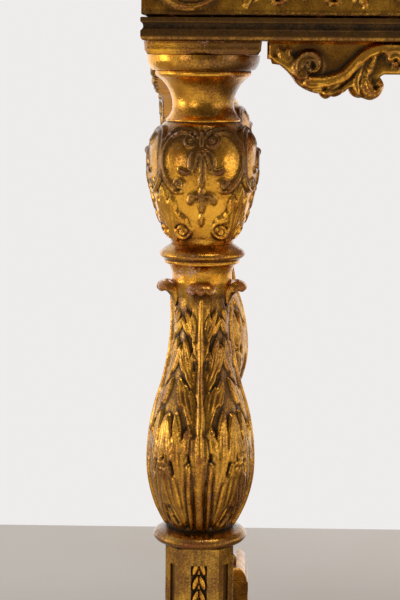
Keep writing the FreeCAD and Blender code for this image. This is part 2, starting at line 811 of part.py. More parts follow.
def apron_outline(length, pendant_width, pendant_drop):
    """An apron's outline in the XZ plane, level with its top edge, mirrored about its middle."""
    half = length / 2
    pendant_half = min(pendant_width / 2, half - apron_bracket_width - apron_gap)
    profile = Profile(0, 0).line(-half, 0)

    def bracket_point(shares):
        return (-half + shares[0] * apron_bracket_width, -shares[1] * apron_bracket_drop)

    def pendant_point(shares):
        below_band = pendant_drop - apron_band_height
        return (-shares[0] * pendant_half, -apron_band_height - shares[1] * below_band)

    for shares in apron_end_shares:
        profile.line(*bracket_point(shares))
    for _, middle, end in apron_arc_shares:
        profile.arc(bracket_point(middle), bracket_point(end))
    profile.line(-half + apron_bracket_width, -apron_band_height)
    profile.line(-pendant_half, -apron_band_height)
    for _, middle, end in pendant_arc_shares:
        profile.arc(pendant_point(middle), pendant_point(end))
    return profile.both_halves()


def apron_scroll(length):
    """The raised stem and volute of the left bracket, standing on the apron's face."""
    half = length / 2

    def place(shares):
        return Vector(-half + shares[0] * apron_bracket_width, -shares[1] * apron_bracket_drop, 0)

    stem = ogee_band(place(stem_start_shares), place(stem_end_shares), apron_stem_width, stem_bend_share)
    stem = stem.extrude(along_z * apron_scroll_relief)
    volute = Part.makeCylinder(apron_volute_radius, apron_scroll_relief, place(volute_shares))
    eye = Part.makeCylinder(apron_eye_radius, apron_scroll_relief + apron_eye_relief, place(volute_shares))
    scroll = stem.multiFuse([volute, eye])
    scroll.rotate(origin, along_x, full_turn / 4)
    return scroll


def palmette(pendant_width, pendant_drop):
    """Pointed petals that fan out from the top of a pendant, standing on the apron's face."""
    petals = []
    for number in range(petal_count):
        angle = (number - (petal_count - 1) / 2) * petal_angle
        heading = FreeCAD.Rotation(along_y, angle).multVec(along_z)
        length = Vector(heading.x * pendant_width / 2, 0, heading.z * pendant_drop).Length
        profile = Profile(0, 0).arc((petal_width / 2, -length / 2), (0, -length))
        petal = profile.both_halves().extrude(along_y * -petal_relief_height)
        petal.rotate(origin, along_y, angle)
        petals.append(petal)
    return petals[0].multiFuse(petals[1:])


def apron(length, pendant_width, pendant_drop):
    """A carved apron drawn at the front, with its back on the XZ plane and its top at level zero."""
    face = apron_outline(length, pendant_width, pendant_drop)
    petals = palmette(pendant_width, pendant_drop).common(face.extrude(along_y * -petal_relief_height))
    scroll = apron_scroll(length)
    carving = [scroll, scroll.mirror(origin, along_x), petals]
    for piece in carving:
        piece.translate(along_y * -apron_thickness)
    return face.extrude(along_y * -apron_thickness).multiFuse(carving).removeSplitter()


def front_apron():
    """The front apron between the two front abaci."""
    length = leg_spacing_x - abacus_width - 2 * apron_gap
    piece = apron(length, front_pendant_width, front_pendant_drop)
    piece.translate(Vector(0, front_leg_y - apron_back, frame_bottom))
    return piece


def side_apron(side_x):
    """A side apron between a front and a back abacus."""
    length = leg_spacing_y - abacus_width - 2 * apron_gap
    piece = apron(length, side_pendant_width, side_pendant_drop)
    piece.rotate(origin, along_z, full_turn / 4 * side_x)
    piece.translate(Vector(side_x * (leg_x + apron_back), legs_middle, frame_bottom))
    return piece


def glue_block():
    """A three-cornered glue block along X, in the angle behind an apron and under a rail."""
    plan = [(0, 0), (glue_block_width, 0), (0, -glue_block_width)]
    wire = Part.makePolygon([Vector(0, y, z) for y, z in plan + plan[:1]])
    solid = Part.Face(wire).extrude(along_x * glue_block_length)
    solid.translate(along_x * (-glue_block_length / 2))
    return solid


def glue_blocks():
    """The glue blocks behind the front apron and the side aprons."""
    solids = []
    front_step = (leg_spacing_x - abacus_width) / front_block_count
    side_step = (leg_spacing_y - abacus_width) / side_block_count
    for number in range(front_block_count):
        piece = glue_block()
        along = (number - (front_block_count - 1) / 2) * front_step
        piece.translate(Vector(along, front_leg_y - apron_back, frame_bottom))
        solids.append(piece)
    for side_x in (-1, 1):
        for number in range(side_block_count):
            piece = glue_block()
            piece.rotate(origin, along_z, full_turn / 4 * side_x)
            along = legs_middle + (number - (side_block_count - 1) / 2) * side_step
            piece.translate(Vector(side_x * (leg_x + apron_back), along, frame_bottom))
            solids.append(piece)
    return Part.makeCompound(solids)


def spigot_pegs():
    """The pegs that lock the legs' spigots in the corner posts."""
    level = frame_bottom + peg_height
    start = Vector(post_half - peg_length + socket_spare_depth, 0, level)
    peg = Part.makeCylinder(peg_radius, peg_length - socket_spare_depth, start, along_x)
    return Part.makeCompound([at_corner(peg, *sides) for sides in corners.values()])


def slab():
    """The marble slab: moulded front and side edges, square back edge."""
    half_x = slab_width / 2
    half_y = slab_depth / 2
    top = frame_top + slab_thickness

    def moulded_edge(profile, half):
        profile.line(half - slab_lip_inset, frame_top)
        profile.line(half - slab_lip_inset, frame_top + slab_lip_height)
        profile.line(half - slab_nose_bulge_depth, frame_top + slab_lip_height)
        middle = (half, (frame_top + slab_lip_height + top) / 2)
        return profile.arc(middle, (half - slab_nose_inset, top))

    across = moulded_edge(Profile(0, frame_top), half_x).line(0, top).both_halves()
    across = across.extrude(along_y * slab_depth)
    across.translate(along_y * -half_y)
    along = moulded_edge(Profile(-half_y, frame_top), half_y).line(-half_y, top).face()
    along = along.extrude(along_y * slab_width)
    along.translate(along_y * -half_x)
    along.rotate(origin, along_z, -full_turn / 4)
    return across.common(along)


def boss_oval(inset, low, high):
    """An oval block of the boss, drawn in from its full size by an inset."""
    oval = Part.Ellipse(Vector(0, 0, low), boss_length / 2 - inset, boss_width / 2 - inset)
    return Part.Face(Part.Wire([oval.toShape()])).extrude(along_z * (high - low))


def landing():
    """Where the front left arm's middle line meets the edge of the boss."""
    edge_x = boss_length / 2 * (1 - (2 * arm_landing_width / boss_width) ** 2) ** 0.5
    return Vector(-edge_x, -arm_landing_width, 0)


def arm_tenon(clearance):
    """The front left arm's tenon into the boss, or its mortise when it has a clearance."""
    low = stretcher_bottom + (arm_base_height - arm_tenon_height) / 2 - clearance
    half = arm_tenon_width / 2 + clearance
    end = arm_tenon_length + (socket_spare_depth if clearance else 0)
    tenon = block((-arm_tenon_length, -half, low), (end, half, low + arm_tenon_height + 2 * clearance))
    tenon.rotate(origin, along_z, arm_lean)
    tenon.translate(landing())
    return tenon


def boss():
    """The oval boss where the four arms meet, with a stepped cap bored for the finial."""
    cap = stretcher_bottom + arm_base_height + arm_step_height
    top = cap + boss_cap_height
    solid = boss_oval(0, stretcher_bottom, cap).fuse(boss_oval(boss_cap_inset, cap, top))
    mortises = [mirrored(arm_tenon(fit_width), *sides) for sides in corners.values()]
    bore_end = top - finial_spigot_length - socket_spare_depth
    bore = rod(finial_spigot_radius + fit_width, bore_end, top + overrun)
    return about_legs(solid.cut(Part.makeCompound(mortises)).cut(bore))


def stretcher_arm(side_x, side_y):
    """A flat serpentine arm in two steps, from a round pad under its plinth to the boss."""
    pad = Vector(-leg_x, -leg_spacing_y / 2, 0)
    lean = FreeCAD.Rotation(along_z, arm_lean)
    start = lean.inverted().multVec(pad)
    end = lean.inverted().multVec(landing()) + along_x * arm_tenon_length
    level = stretcher_bottom
    solids = []
    for inset, height in ((0, arm_base_height), (arm_step_width, arm_step_height)):
        band = ogee_band(start, end, arm_width - 2 * inset, arm_bend_share)
        band.rotate(origin, along_z, arm_lean)
        band.translate(along_z * level)
        solids.append(band.extrude(along_z * height))
        solids.append(Part.makeCylinder(arm_pad_radius - inset, height, pad + along_z * level))
        level += height
    solid = solids[0].multiFuse(solids[1:])
    room = boss_oval(0, stretcher_bottom - overrun, level + overrun)
    solid = solid.cut(room)
    hole = rod(foot_spigot_radius + fit_width, stretcher_bottom - overrun, level + overrun)
    hole.translate(pad)
    solid = solid.cut(hole).fuse(arm_tenon(0).common(room)).removeSplitter()
    return about_legs(mirrored(solid, side_x, side_y))


def finial():
    """The turned urn finial on the boss."""
    base = stretcher_bottom + arm_base_height + arm_step_height + boss_cap_height
    cup_bottom = base + finial_foot_height + finial_stem_height
    cup_top = cup_bottom + finial_cup_height
    lid = cup_top + finial_lid_height
    knob_top = base + finial_height
    dome = knob_top - 2 * finial_knob_radius
    profile = Profile(0, base - finial_spigot_length)
    profile.line(finial_spigot_radius, base - finial_spigot_length).line(finial_spigot_radius, base)
    profile.line(finial_foot_radius, base).line(finial_foot_radius, base + finial_foot_height)
    profile.upright_at_end(finial_stem_radius, cup_bottom)
    profile.upright_at_end(finial_cup_radius, cup_bottom + finial_cup_height / 2)
    profile.upright_at_start(finial_neck_radius, cup_top)
    profile.line(finial_lid_radius, cup_top).line(finial_lid_radius, lid)
    profile.upright_at_end(finial_knob_radius / 2, dome)
    profile.arc((finial_knob_radius, dome + finial_knob_radius), (finial_tip_radius, knob_top))
    return about_legs(profile.line(0, knob_top).spun())


def build():
    """Every node of the table by name."""
    nodes = {
        "marble_slab": slab(),
        "front_rail": long_rail(-1),
        "back_rail": long_rail(1),
        "left_rail": side_rail(-1),
        "right_rail": side_rail(1),
        "left_bearer": bearer(-1),
        "right_bearer": bearer(1),
        "front_apron": front_apron(),
        "left_apron": side_apron(-1),
        "right_apron": side_apron(1),
        "apron_glue_blocks": glue_blocks(),
        "spigot_pegs": spigot_pegs(),
        "stretcher_boss": boss(),
        "stretcher_finial": finial(),
    }
    for side in ("front", "left", "right"):
        nodes[side + "_lower_moulding"] = strip(lower_moulding(), side)
        nodes[side + "_frieze"] = strip(frieze_board(), side)
        nodes[side + "_cornice"] = strip(cornice(), side)
    leg_pieces = {
        "abacus": abacus(),
        "head": head(),
        "baluster": baluster(),
        "pillar": pillar(),
        "plinth": plinth(),
        "foot": bun_foot(),
    }
    posts = {-1: post(post_half), 1: post(abacus_half)}
    for corner, sides in corners.items():
        for piece, shape in leg_pieces.items():
            nodes[corner + "_" + piece] = at_corner(shape, *sides)
        nodes[corner + "_post"] = at_corner(posts[sides[1]], *sides)
        nodes[corner + "_stretcher_arm"] = stretcher_arm(*sides)
    return nodes


os.makedirs("parts", exist_ok=True)
for name, shape in build().items():
    shape.exportStep(os.path.join("parts", name + ".step"))
    print(name, len(shape.Solids), "solid", round(shape.Volume / 1000, 1), "cm3", shape.isValid())
print("height", round(frame_top + slab_thickness, 1))
print("width", round(slab_width, 1), "depth", round(slab_depth, 1))
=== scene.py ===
# %% [markdown]
# # A baroque giltwood pier table
# The table is built round a packed construction model that already holds every piece at its real size.
# That model is loaded first as a fixed frame, and its box is kept so that the dressed table can be compared
# with it at the end. Lengths below are millimetres, and meshes are scaled to metres when they are made.

# %% Load the frame
import math
import bpy
import numpy as np
from mathutils import Matrix, Vector


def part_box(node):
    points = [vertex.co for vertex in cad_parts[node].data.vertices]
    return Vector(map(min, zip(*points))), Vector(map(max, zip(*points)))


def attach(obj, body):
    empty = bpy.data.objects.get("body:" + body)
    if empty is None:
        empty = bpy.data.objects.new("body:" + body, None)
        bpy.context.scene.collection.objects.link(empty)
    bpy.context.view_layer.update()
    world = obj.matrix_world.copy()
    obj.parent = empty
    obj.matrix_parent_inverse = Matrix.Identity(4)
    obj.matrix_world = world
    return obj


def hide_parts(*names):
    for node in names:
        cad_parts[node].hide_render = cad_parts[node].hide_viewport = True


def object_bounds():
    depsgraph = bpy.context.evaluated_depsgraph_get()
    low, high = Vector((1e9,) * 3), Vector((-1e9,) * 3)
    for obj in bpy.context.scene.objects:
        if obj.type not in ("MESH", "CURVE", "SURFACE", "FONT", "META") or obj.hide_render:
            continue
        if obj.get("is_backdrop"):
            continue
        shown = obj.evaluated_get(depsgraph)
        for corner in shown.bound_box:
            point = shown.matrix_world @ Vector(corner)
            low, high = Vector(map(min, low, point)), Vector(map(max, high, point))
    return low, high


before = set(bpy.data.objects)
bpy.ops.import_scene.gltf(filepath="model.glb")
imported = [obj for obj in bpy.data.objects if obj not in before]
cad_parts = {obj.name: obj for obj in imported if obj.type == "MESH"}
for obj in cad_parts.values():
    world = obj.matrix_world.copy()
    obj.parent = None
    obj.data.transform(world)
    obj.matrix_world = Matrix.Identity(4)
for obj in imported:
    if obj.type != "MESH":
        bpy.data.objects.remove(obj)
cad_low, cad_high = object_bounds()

MM = 0.001
print("nodes", len(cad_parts), "box", tuple(cad_low), tuple(cad_high))

# %% [markdown]
# ## Where things are
# Every level and axis is read from the boxes of the packed nodes, so nothing is fitted by eye. A leg's axis
# is the middle of its head, and the levels of its pieces are the tops and bottoms of the nodes there.

# %% Axes and levels
corners = ("front_left", "front_right", "back_left", "back_right")


def box(node):
    """Lowest and highest corner of a node in millimetres."""
    low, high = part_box(node)
    return np.array(low) / MM, np.array(high) / MM


def middle(node):
    """Plan position of the middle of a node."""
    low, high = box(node)
    return (low + high)[:2] / 2


leg_axis = {corner: middle(corner + "_head") for corner in corners}
leg_x = leg_axis["front_right"][0]
front_leg_y = leg_axis["front_left"][1]
back_leg_y = leg_axis["back_left"][1]
abacus_low, abacus_high = box("front_left_abacus")
abacus_half = (abacus_high[0] - abacus_low[0]) / 2
abacus_bottom, frame_bottom = abacus_low[2], abacus_high[2]
head_bottom = box("front_left_head")[0][2]
baluster_bottom = box("front_left_pillar")[1][2]
plinth_bottom, pillar_bottom = (corner[2] for corner in box("front_left_plinth"))
stretcher_bottom = box("stretcher_boss")[0][2]
frieze_bottom, frieze_top = (corner[2] for corner in box("front_frieze"))
print("leg axes", leg_x, front_leg_y, back_leg_y, "frame from", frame_bottom)

# %% [markdown]
# ## From a grid of points to a piece
# Nearly every piece is a grid: rows of points that follow one parameter and columns that follow another. The
# faces join neighbours, a wrapped direction joins its last line to its first, and open ends get one flat
# face. Each vertex also carries two numbers for the finish: how hollow the surface is there, which is where
# dirt settles and, with its sign turned, where leaf wears away, and a tone, partly old toning and partly
# painted light: painted shade above 0 and painted highlight below it.

# %% Hollows of a grid
hollow_reaches = (1, 3, 6, 10)
hollow_full = 1.6
no_area, no_length = 1e-9, 1e-6


def spread(points, reach, wrap):
    """Mean of the four grid neighbours a few rows and columns away, and their mean distance."""
    total = np.zeros(points.shape)
    distance = np.zeros(points.shape[:2])
    for axis in (0, 1):
        pad = [(0, 0)] * 3
        pad[axis] = (reach, reach)
        padded = np.pad(points, pad, mode="wrap" if wrap[axis] else "edge")
        count = points.shape[axis]
        for first in (0, 2 * reach):
            moved = np.take(padded, np.arange(first, first + count), axis=axis)
            total += moved / 4
            distance += np.linalg.norm(moved - points, axis=2) / 4
    return total, distance


def grid_steps(points, axis, wrap):
    """Half the step between the neighbours on both sides along one grid direction."""
    if wrap:
        return (np.roll(points, -1, axis) - np.roll(points, 1, axis)) / 2
    return np.gradient(points, axis=axis)


def grid_normals(points, wrap):
    """Unit normals: the step along the columns crossed with the step along the rows."""
    normals = np.cross(grid_steps(points, 1, wrap[1]), grid_steps(points, 0, wrap[0]))
    return normals / np.maximum(np.linalg.norm(normals, axis=2, keepdims=True), no_area)


def hollowness(points, wrap):
    """How far neighbours stand above the surface for their distance: over 0 in hollows, under 0 on edges."""
    normals = grid_normals(points, wrap)
    total = np.zeros(points.shape[:2])
    for reach in hollow_reaches:
        if 2 * reach < min(points.shape[:2]):
            mean, distance = spread(points, reach, wrap)
            total += np.sum((mean - points) * normals, axis=2) / np.maximum(distance, no_length)
    return np.clip(total / hollow_full, -1, 1)


print("hollows are measured over", hollow_reaches, "grid steps")

# %% Shells and pieces
sharp_angle = math.radians(50)


def quads_of(index):
    """Faces that join the four corners of each cell of a grid of vertex numbers."""
    return np.stack([index[:-1, :-1], index[:-1, 1:], index[1:, 1:], index[1:, :-1]], axis=-1)


def shell(points, wrap=(False, True), toned=0.0):
    """Vertices, faces and finish numbers of one grid, closed by flat caps at the open ends of its rows."""
    rows, cols = points.shape[:2]
    index = np.arange(rows * cols).reshape(rows, cols)
    ends = [index[0, ::-1], index[-1]] if wrap[1] else [index[:, 0], index[::-1, -1]]
    index = np.vstack([index, index[:1]]) if wrap[0] else index
    index = np.hstack([index, index[:, :1]]) if wrap[1] else index
    quads = quads_of(index).reshape(-1, 4)
    return {
        "points": points.reshape(-1, 3), "quads": quads, "ends": ends,
        "hollow": hollowness(points, wrap).ravel(),
        "toned": np.broadcast_to(toned, (rows, cols)).ravel(),
        "bare": np.zeros(len(quads), int),
    }


def piece(name, shells, nodes, materials):
    """One object from its shells, riding on the frame and standing for its nodes."""
    starts = np.cumsum([0] + [len(part["points"]) for part in shells])
    loops = [part["quads"].ravel() + start for part, start in zip(shells, starts)]
    sizes = [np.full(len(part["quads"]), 4) for part in shells]
    bare = [part["bare"] for part in shells]
    for part, start in zip(shells, starts):
        for end in part["ends"]:
            loops.append(end + start)
            sizes.append(np.array([len(end)]))
            bare.append(np.array([0]))
    loops, sizes = np.concatenate(loops), np.concatenate(sizes)
    points = np.vstack([part["points"] for part in shells]) * MM
    mesh = bpy.data.meshes.new(name)
    mesh.vertices.add(len(points))
    mesh.vertices.foreach_set("co", points.astype(np.float32).ravel())
    mesh.loops.add(len(loops))
    mesh.loops.foreach_set("vertex_index", loops.astype(np.int32))
    mesh.polygons.add(len(sizes))
    loop_starts = np.concatenate([[0], np.cumsum(sizes)[:-1]])
    mesh.polygons.foreach_set("loop_start", loop_starts.astype(np.int32))
    mesh.update(calc_edges=True)
    mesh.polygons.foreach_set("material_index", np.concatenate(bare).astype(np.int32))
    mesh.shade_smooth()
    mesh.set_sharp_from_angle(angle=sharp_angle)
    for title in ("hollow", "toned"):
        values = np.concatenate([part[title] for part in shells]).astype(np.float32)
        mesh.attributes.new(title, "FLOAT", "POINT").data.foreach_set("value", values)
    for material in materials:
        mesh.materials.append(material)
    made = bpy.data.objects.new(name, mesh)
    bpy.context.scene.collection.objects.link(made)
    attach(made, "root")
    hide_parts(*nodes)
    print(name, "has", len(points), "points and", int(np.sum(sizes - 2)), "triangles")


print("edges sharper than", round(math.degrees(sharp_angle)), "degrees stay sharp")

# %% [markdown]
# ## Turned outlines
# A turner's profile is straight lines and arcs. An arc that is upright at one end has its centre level with
# that end, which gives its radius at once. The outline is then walked in even steps and smoothed a little,
# because gesso laid under the gold rounds every edge of the wood.

# %% Outlines in lines and arcs
arc_steps = 24
bend_steps = 6
hidden_stride = 5


def upright_arc(held, other):
    """Points from held, where the arc is upright, to other: chord squared over twice the side step is its
    radius."""
    step = np.subtract(other, held)
    radius = (step @ step) / (2 * step[0])
    turn = np.linspace(0, math.atan2(step[1] / radius, 1 - step[0] / radius), arc_steps)
    return np.add(held, np.stack([radius * (1 - np.cos(turn)), radius * np.sin(turn)], axis=1))


def bowed(start, middle_point, end, count=arc_steps):
    """Points of the curve of second degree that passes through three points."""
    t = np.linspace(0, 1, count)[:, None]
    start, middle_point, end = (np.array(point, float) for point in (start, middle_point, end))
    handle = 2 * middle_point - (start + end) / 2
    return (1 - t) ** 2 * start + 2 * t * (1 - t) * handle + t ** 2 * end


def outline(start, *edges):
    """Points of a profile. A bare point ends a straight edge; any other edge is its kind, its end and, for a
    round one, how far it stands proud."""
    runs = [np.array([start], float)]
    for edge in edges:
        last = runs[-1][-1]
        kind, end, *proud = edge if isinstance(edge[0], str) else ("line", edge)
        if kind == "line":
            runs.append(np.array([end], float))
        elif kind == "leaves upright":
            runs.append(upright_arc(last, end))
        elif kind == "ends upright":
            runs.append(upright_arc(end, last)[::-1])
        else:
            along = np.subtract(end, last)
            side = np.array([along[1], -along[0]]) / np.hypot(*along)
            runs.append(bowed(last, (last + end) / 2 + side * proud[0], end))
    return np.vstack(runs)


def softened(points, step, softness, fine_from=-math.inf):
    """The outline walked in even steps, with a running mean over a softening length and its ends held.

    Of the points whose first coordinate is under fine_from, flat and out of sight, one in five is kept.
    """
    lengths = np.concatenate([[0], np.cumsum(np.hypot(*np.diff(points, axis=0).T))])
    count = max(int(lengths[-1] / step), 8)
    walk = np.linspace(0, lengths[-1], count)
    even = np.stack([np.interp(walk, lengths, points[:, axis]) for axis in (0, 1)], axis=1)
    reach = max(int(softness / step), 1)
    offsets = np.arange(-reach, reach + 1)
    weights = np.cos(offsets / (reach + 1) * math.pi / 2) ** 2
    before = 2 * even[:1] - even[reach:0:-1]
    after = 2 * even[-1:] - even[-2:-reach - 2:-1]
    padded = np.vstack([before, even, after])
    smooth = sum(weight * padded[reach + k:reach + k + count] for k, weight in zip(offsets, weights))
    smooth = smooth / weights.sum()
    kept = (smooth[:, 0] > fine_from) | (np.arange(count) % hidden_stride == 0)
    kept[[0, -1]] = True
    return smooth[kept]


print("an arc has", arc_steps, "points")

# %% Plans that carry an outline round


def full_turn(count):
    """Angles in even steps round a circle."""
    return np.linspace(0, 2 * math.pi, count, endpoint=False)


def circle_plan(count):
    """Unit directions round a circle, starting at the front and turning towards the right."""
    angle = full_turn(count)
    return np.stack([np.sin(angle), -np.cos(angle)], axis=1)


def square_plan(per_side, rounding_share):
    """A unit square with rounded corners, walked side by side from the front left corner."""
    near = 1 - rounding_share
    flat = np.linspace(-1, 1, per_side) * near
    front = np.stack([flat, np.full(per_side, -1.0)], axis=1)
    angle = np.linspace(0, math.pi / 2, bend_steps)[1:-1]
    bend = rounding_share * np.stack([np.sin(angle), -np.cos(angle)], axis=1) + [near, -near]
    side = np.vstack([front, bend])
    quarter = np.array([[0, 1], [-1, 0]])
    return np.vstack([side @ np.linalg.matrix_power(quarter, turn) for turn in range(4)])


def turned_grid(profile, plan, relief=0.0):
    """Each profile point (radius, level) carried round the plan and moved along its normal by the relief."""
    slope = np.gradient(profile, axis=0)
    normal = np.stack([slope[:, 1], -slope[:, 0]], axis=1) / np.linalg.norm(slope, axis=1, keepdims=True)
    radius = profile[:, :1] + relief * normal[:, :1]
    level = profile[:, 1:] + relief * normal[:, 1:]
    level = np.broadcast_to(level, (len(profile), len(plan)))
    return np.stack([radius * plan[:, 0], radius * plan[:, 1], level], axis=-1)


def rim_grid(profile, plan, low, high, inset=None):
    """A profile, offset inwards from a box's rim, carried round a plan; inset replaces the offset in y."""
    half, centre = (high - low)[:2] / 2, (high + low)[:2] / 2
    x = (half[0] + profile[:, :1]) * plan[:, 0] + centre[0]
    y = (half[1] + (profile[:, :1] if inset is None else inset)) * plan[:, 1] + centre[1]
    return np.stack([x, y, np.broadcast_to(profile[:, 1:] + low[2], x.shape)], axis=-1)


print("a rounded corner has", bend_steps, "steps")

# %% [markdown]
# ## Carving as strokes
# Low relief is a height over a flattened surface. Each stroke raises the height along a path: a strap keeps
# its width, a leaf swells and runs to a point, a volute is a spiral. Leaves have raised rims and a flute on
# either side of the middle, as a gouge leaves them, and a narrow moat sinks what lies beside a stroke, so
# that overlaps read as overlaps. A carved surface is then a table of strokes in the order they are cut. The
# alternative, sculpting by hand or an image of heights, could not be changed by one number.

# %% Crests and tapers


def ramp(value, start, run):
    """A straight rise from 0 at the start to 1 a run further on; a run below 0 makes it a fall."""
    return np.clip((value - start) / run, 0, 1)


def soft_edge(q, width):
    """1 inside a stroke, eased to 0 over a width before its edge at q = 1."""
    inside = ramp(q, 1, -width)
    return inside * inside * (3 - 2 * inside)


def round_crest(q):
    """A half round ridge: the square root of 1 less q squared."""
    return np.sqrt(np.clip(1 - q ** 2, 0, 1))


def strap_crest(q):
    """A band with soft edges and a hollow along its middle."""
    return soft_edge(q, 0.3) - 0.55 * np.exp(-(q / 0.36) ** 2)


def scoop_crest(q):
    """A gouge-cut leaf: high at its rim, rounded at its edge, with a flute on either side of its middle."""
    return soft_edge(q, 0.36) * (0.75 + 0.4 * q ** 2) - 0.22 * np.exp(-((q - 0.36) / 0.14) ** 2)


def leaf_taper(along):
    """Half width of a leaf: narrow at its root, full before its middle, a point at its tip."""
    return np.sin(math.pi * (0.14 + 0.86 * along)) ** 0.75


def finger_taper(along):
    """Half width of a leaf's finger: over half at its root, widest past its middle, then a flame's point."""
    return 1.25 * (0.5 + 0.5 * along) * np.clip(1 - along ** 4, 0, 1) ** 0.75


def narrowing(start, loss):
    """A half width that shrinks evenly from a start share by a loss along the whole path."""
    return lambda along: start - loss * along


styles = {
    "cord": (narrowing(1, 0), round_crest), "strap": (narrowing(1, 0), strap_crest),
    "husk": (leaf_taper, round_crest), "leaf": (leaf_taper, scoop_crest),
    "finger": (finger_taper, scoop_crest), "scroll": (narrowing(1, 0.6), round_crest),
    "curl": (narrowing(1, 0.6), scoop_crest), "stem": (narrowing(1.1, 0.35), scoop_crest),
    "back": (narrowing(1.25, 0.75), round_crest), "rib": (narrowing(1, 0.45), round_crest),
}
print("styles of stroke", ", ".join(styles))

# %% Paths


def spiral(centre, radius, turns, start, hand):
    """A spiral that winds in evenly to a sixth of its radius, from a start angle in degrees."""
    t = np.linspace(0, 1, int(30 * turns) + 2)
    angle = math.radians(start) + hand * 2 * math.pi * turns * t
    reach = radius * (1 - 0.84 * t)
    return np.stack([centre[0] + reach * np.cos(angle), centre[1] + reach * np.sin(angle)], axis=1)


def through(*points, count=12):
    """A smooth path through points: each stretch is a cubic whose slopes come from the neighbours."""
    points = np.array(points, float)
    slopes = np.gradient(points, axis=0)
    t = np.linspace(0, 1, count, endpoint=False)[:, None]
    runs = []
    for a, b, u, v in zip(points[:-1], points[1:], slopes[:-1], slopes[1:]):
        runs.append((2 * t ** 3 - 3 * t ** 2 + 1) * a + (t ** 3 - 2 * t ** 2 + t) * u
                    + (3 * t ** 2 - 2 * t ** 3) * b + (t ** 3 - t ** 2) * v)
    return np.vstack(runs + [points[-1:]])


def coil(centre, *winding):
    """A spiral for a table of strokes, drawn once the place of its centre is known."""
    return lambda place: spiral(place(*centre), *winding)


def traced(path, place):
    """The path of a stroke: a coil, or a smooth line through table points, each put in its place."""
    return path(place) if callable(path) else through(*[place(*point) for point in path])


def unsteady(x, y, size, length, seed):
    """The slight wander of a carver's hand: a few seeded waves of one length in several directions."""
    draw = np.random.default_rng(seed)
    wander = np.zeros(np.broadcast(x, y).shape)
    for heading, phase in zip(draw.uniform(0, math.pi, 5), draw.uniform(0, 2 * math.pi, 5)):
        wander += np.sin((x * math.cos(heading) + y * math.sin(heading)) * 2 * math.pi / length + phase)
    return size * wander / 2


print("a volute of one turn has", len(spiral((0, 0), 1, 1, 0, 1)), "points")

# %% Relief strokes
stroke_reach = 1.6
far_off = 9.0
thinnest = 1e-3


def covering(q):
    """1 over a stroke, falling to 0 just past its edge."""
    return ramp(q, 1.1, -0.3)


def bordering(q):
    """1 over a stroke, falling to 0 over a border half as wide as its half width."""
    return ramp(q, 1.5, -0.5)


def eased(height, passes, wrapped=True):
    """Heights averaged with their neighbours by a quarter, a half and a quarter, along rows and columns."""
    for axis in (0, 1) * passes:
        pad = [(0, 0), (0, 0)]
        pad[axis] = (1, 1)
        padded = np.pad(height, pad, mode="wrap" if wrapped and axis == 1 else "edge")
        places = np.arange(height.shape[axis])
        before, here, after = (np.take(padded, places + shift, axis=axis) for shift in range(3))
        height = (before + 2 * here + after) / 4
    return height


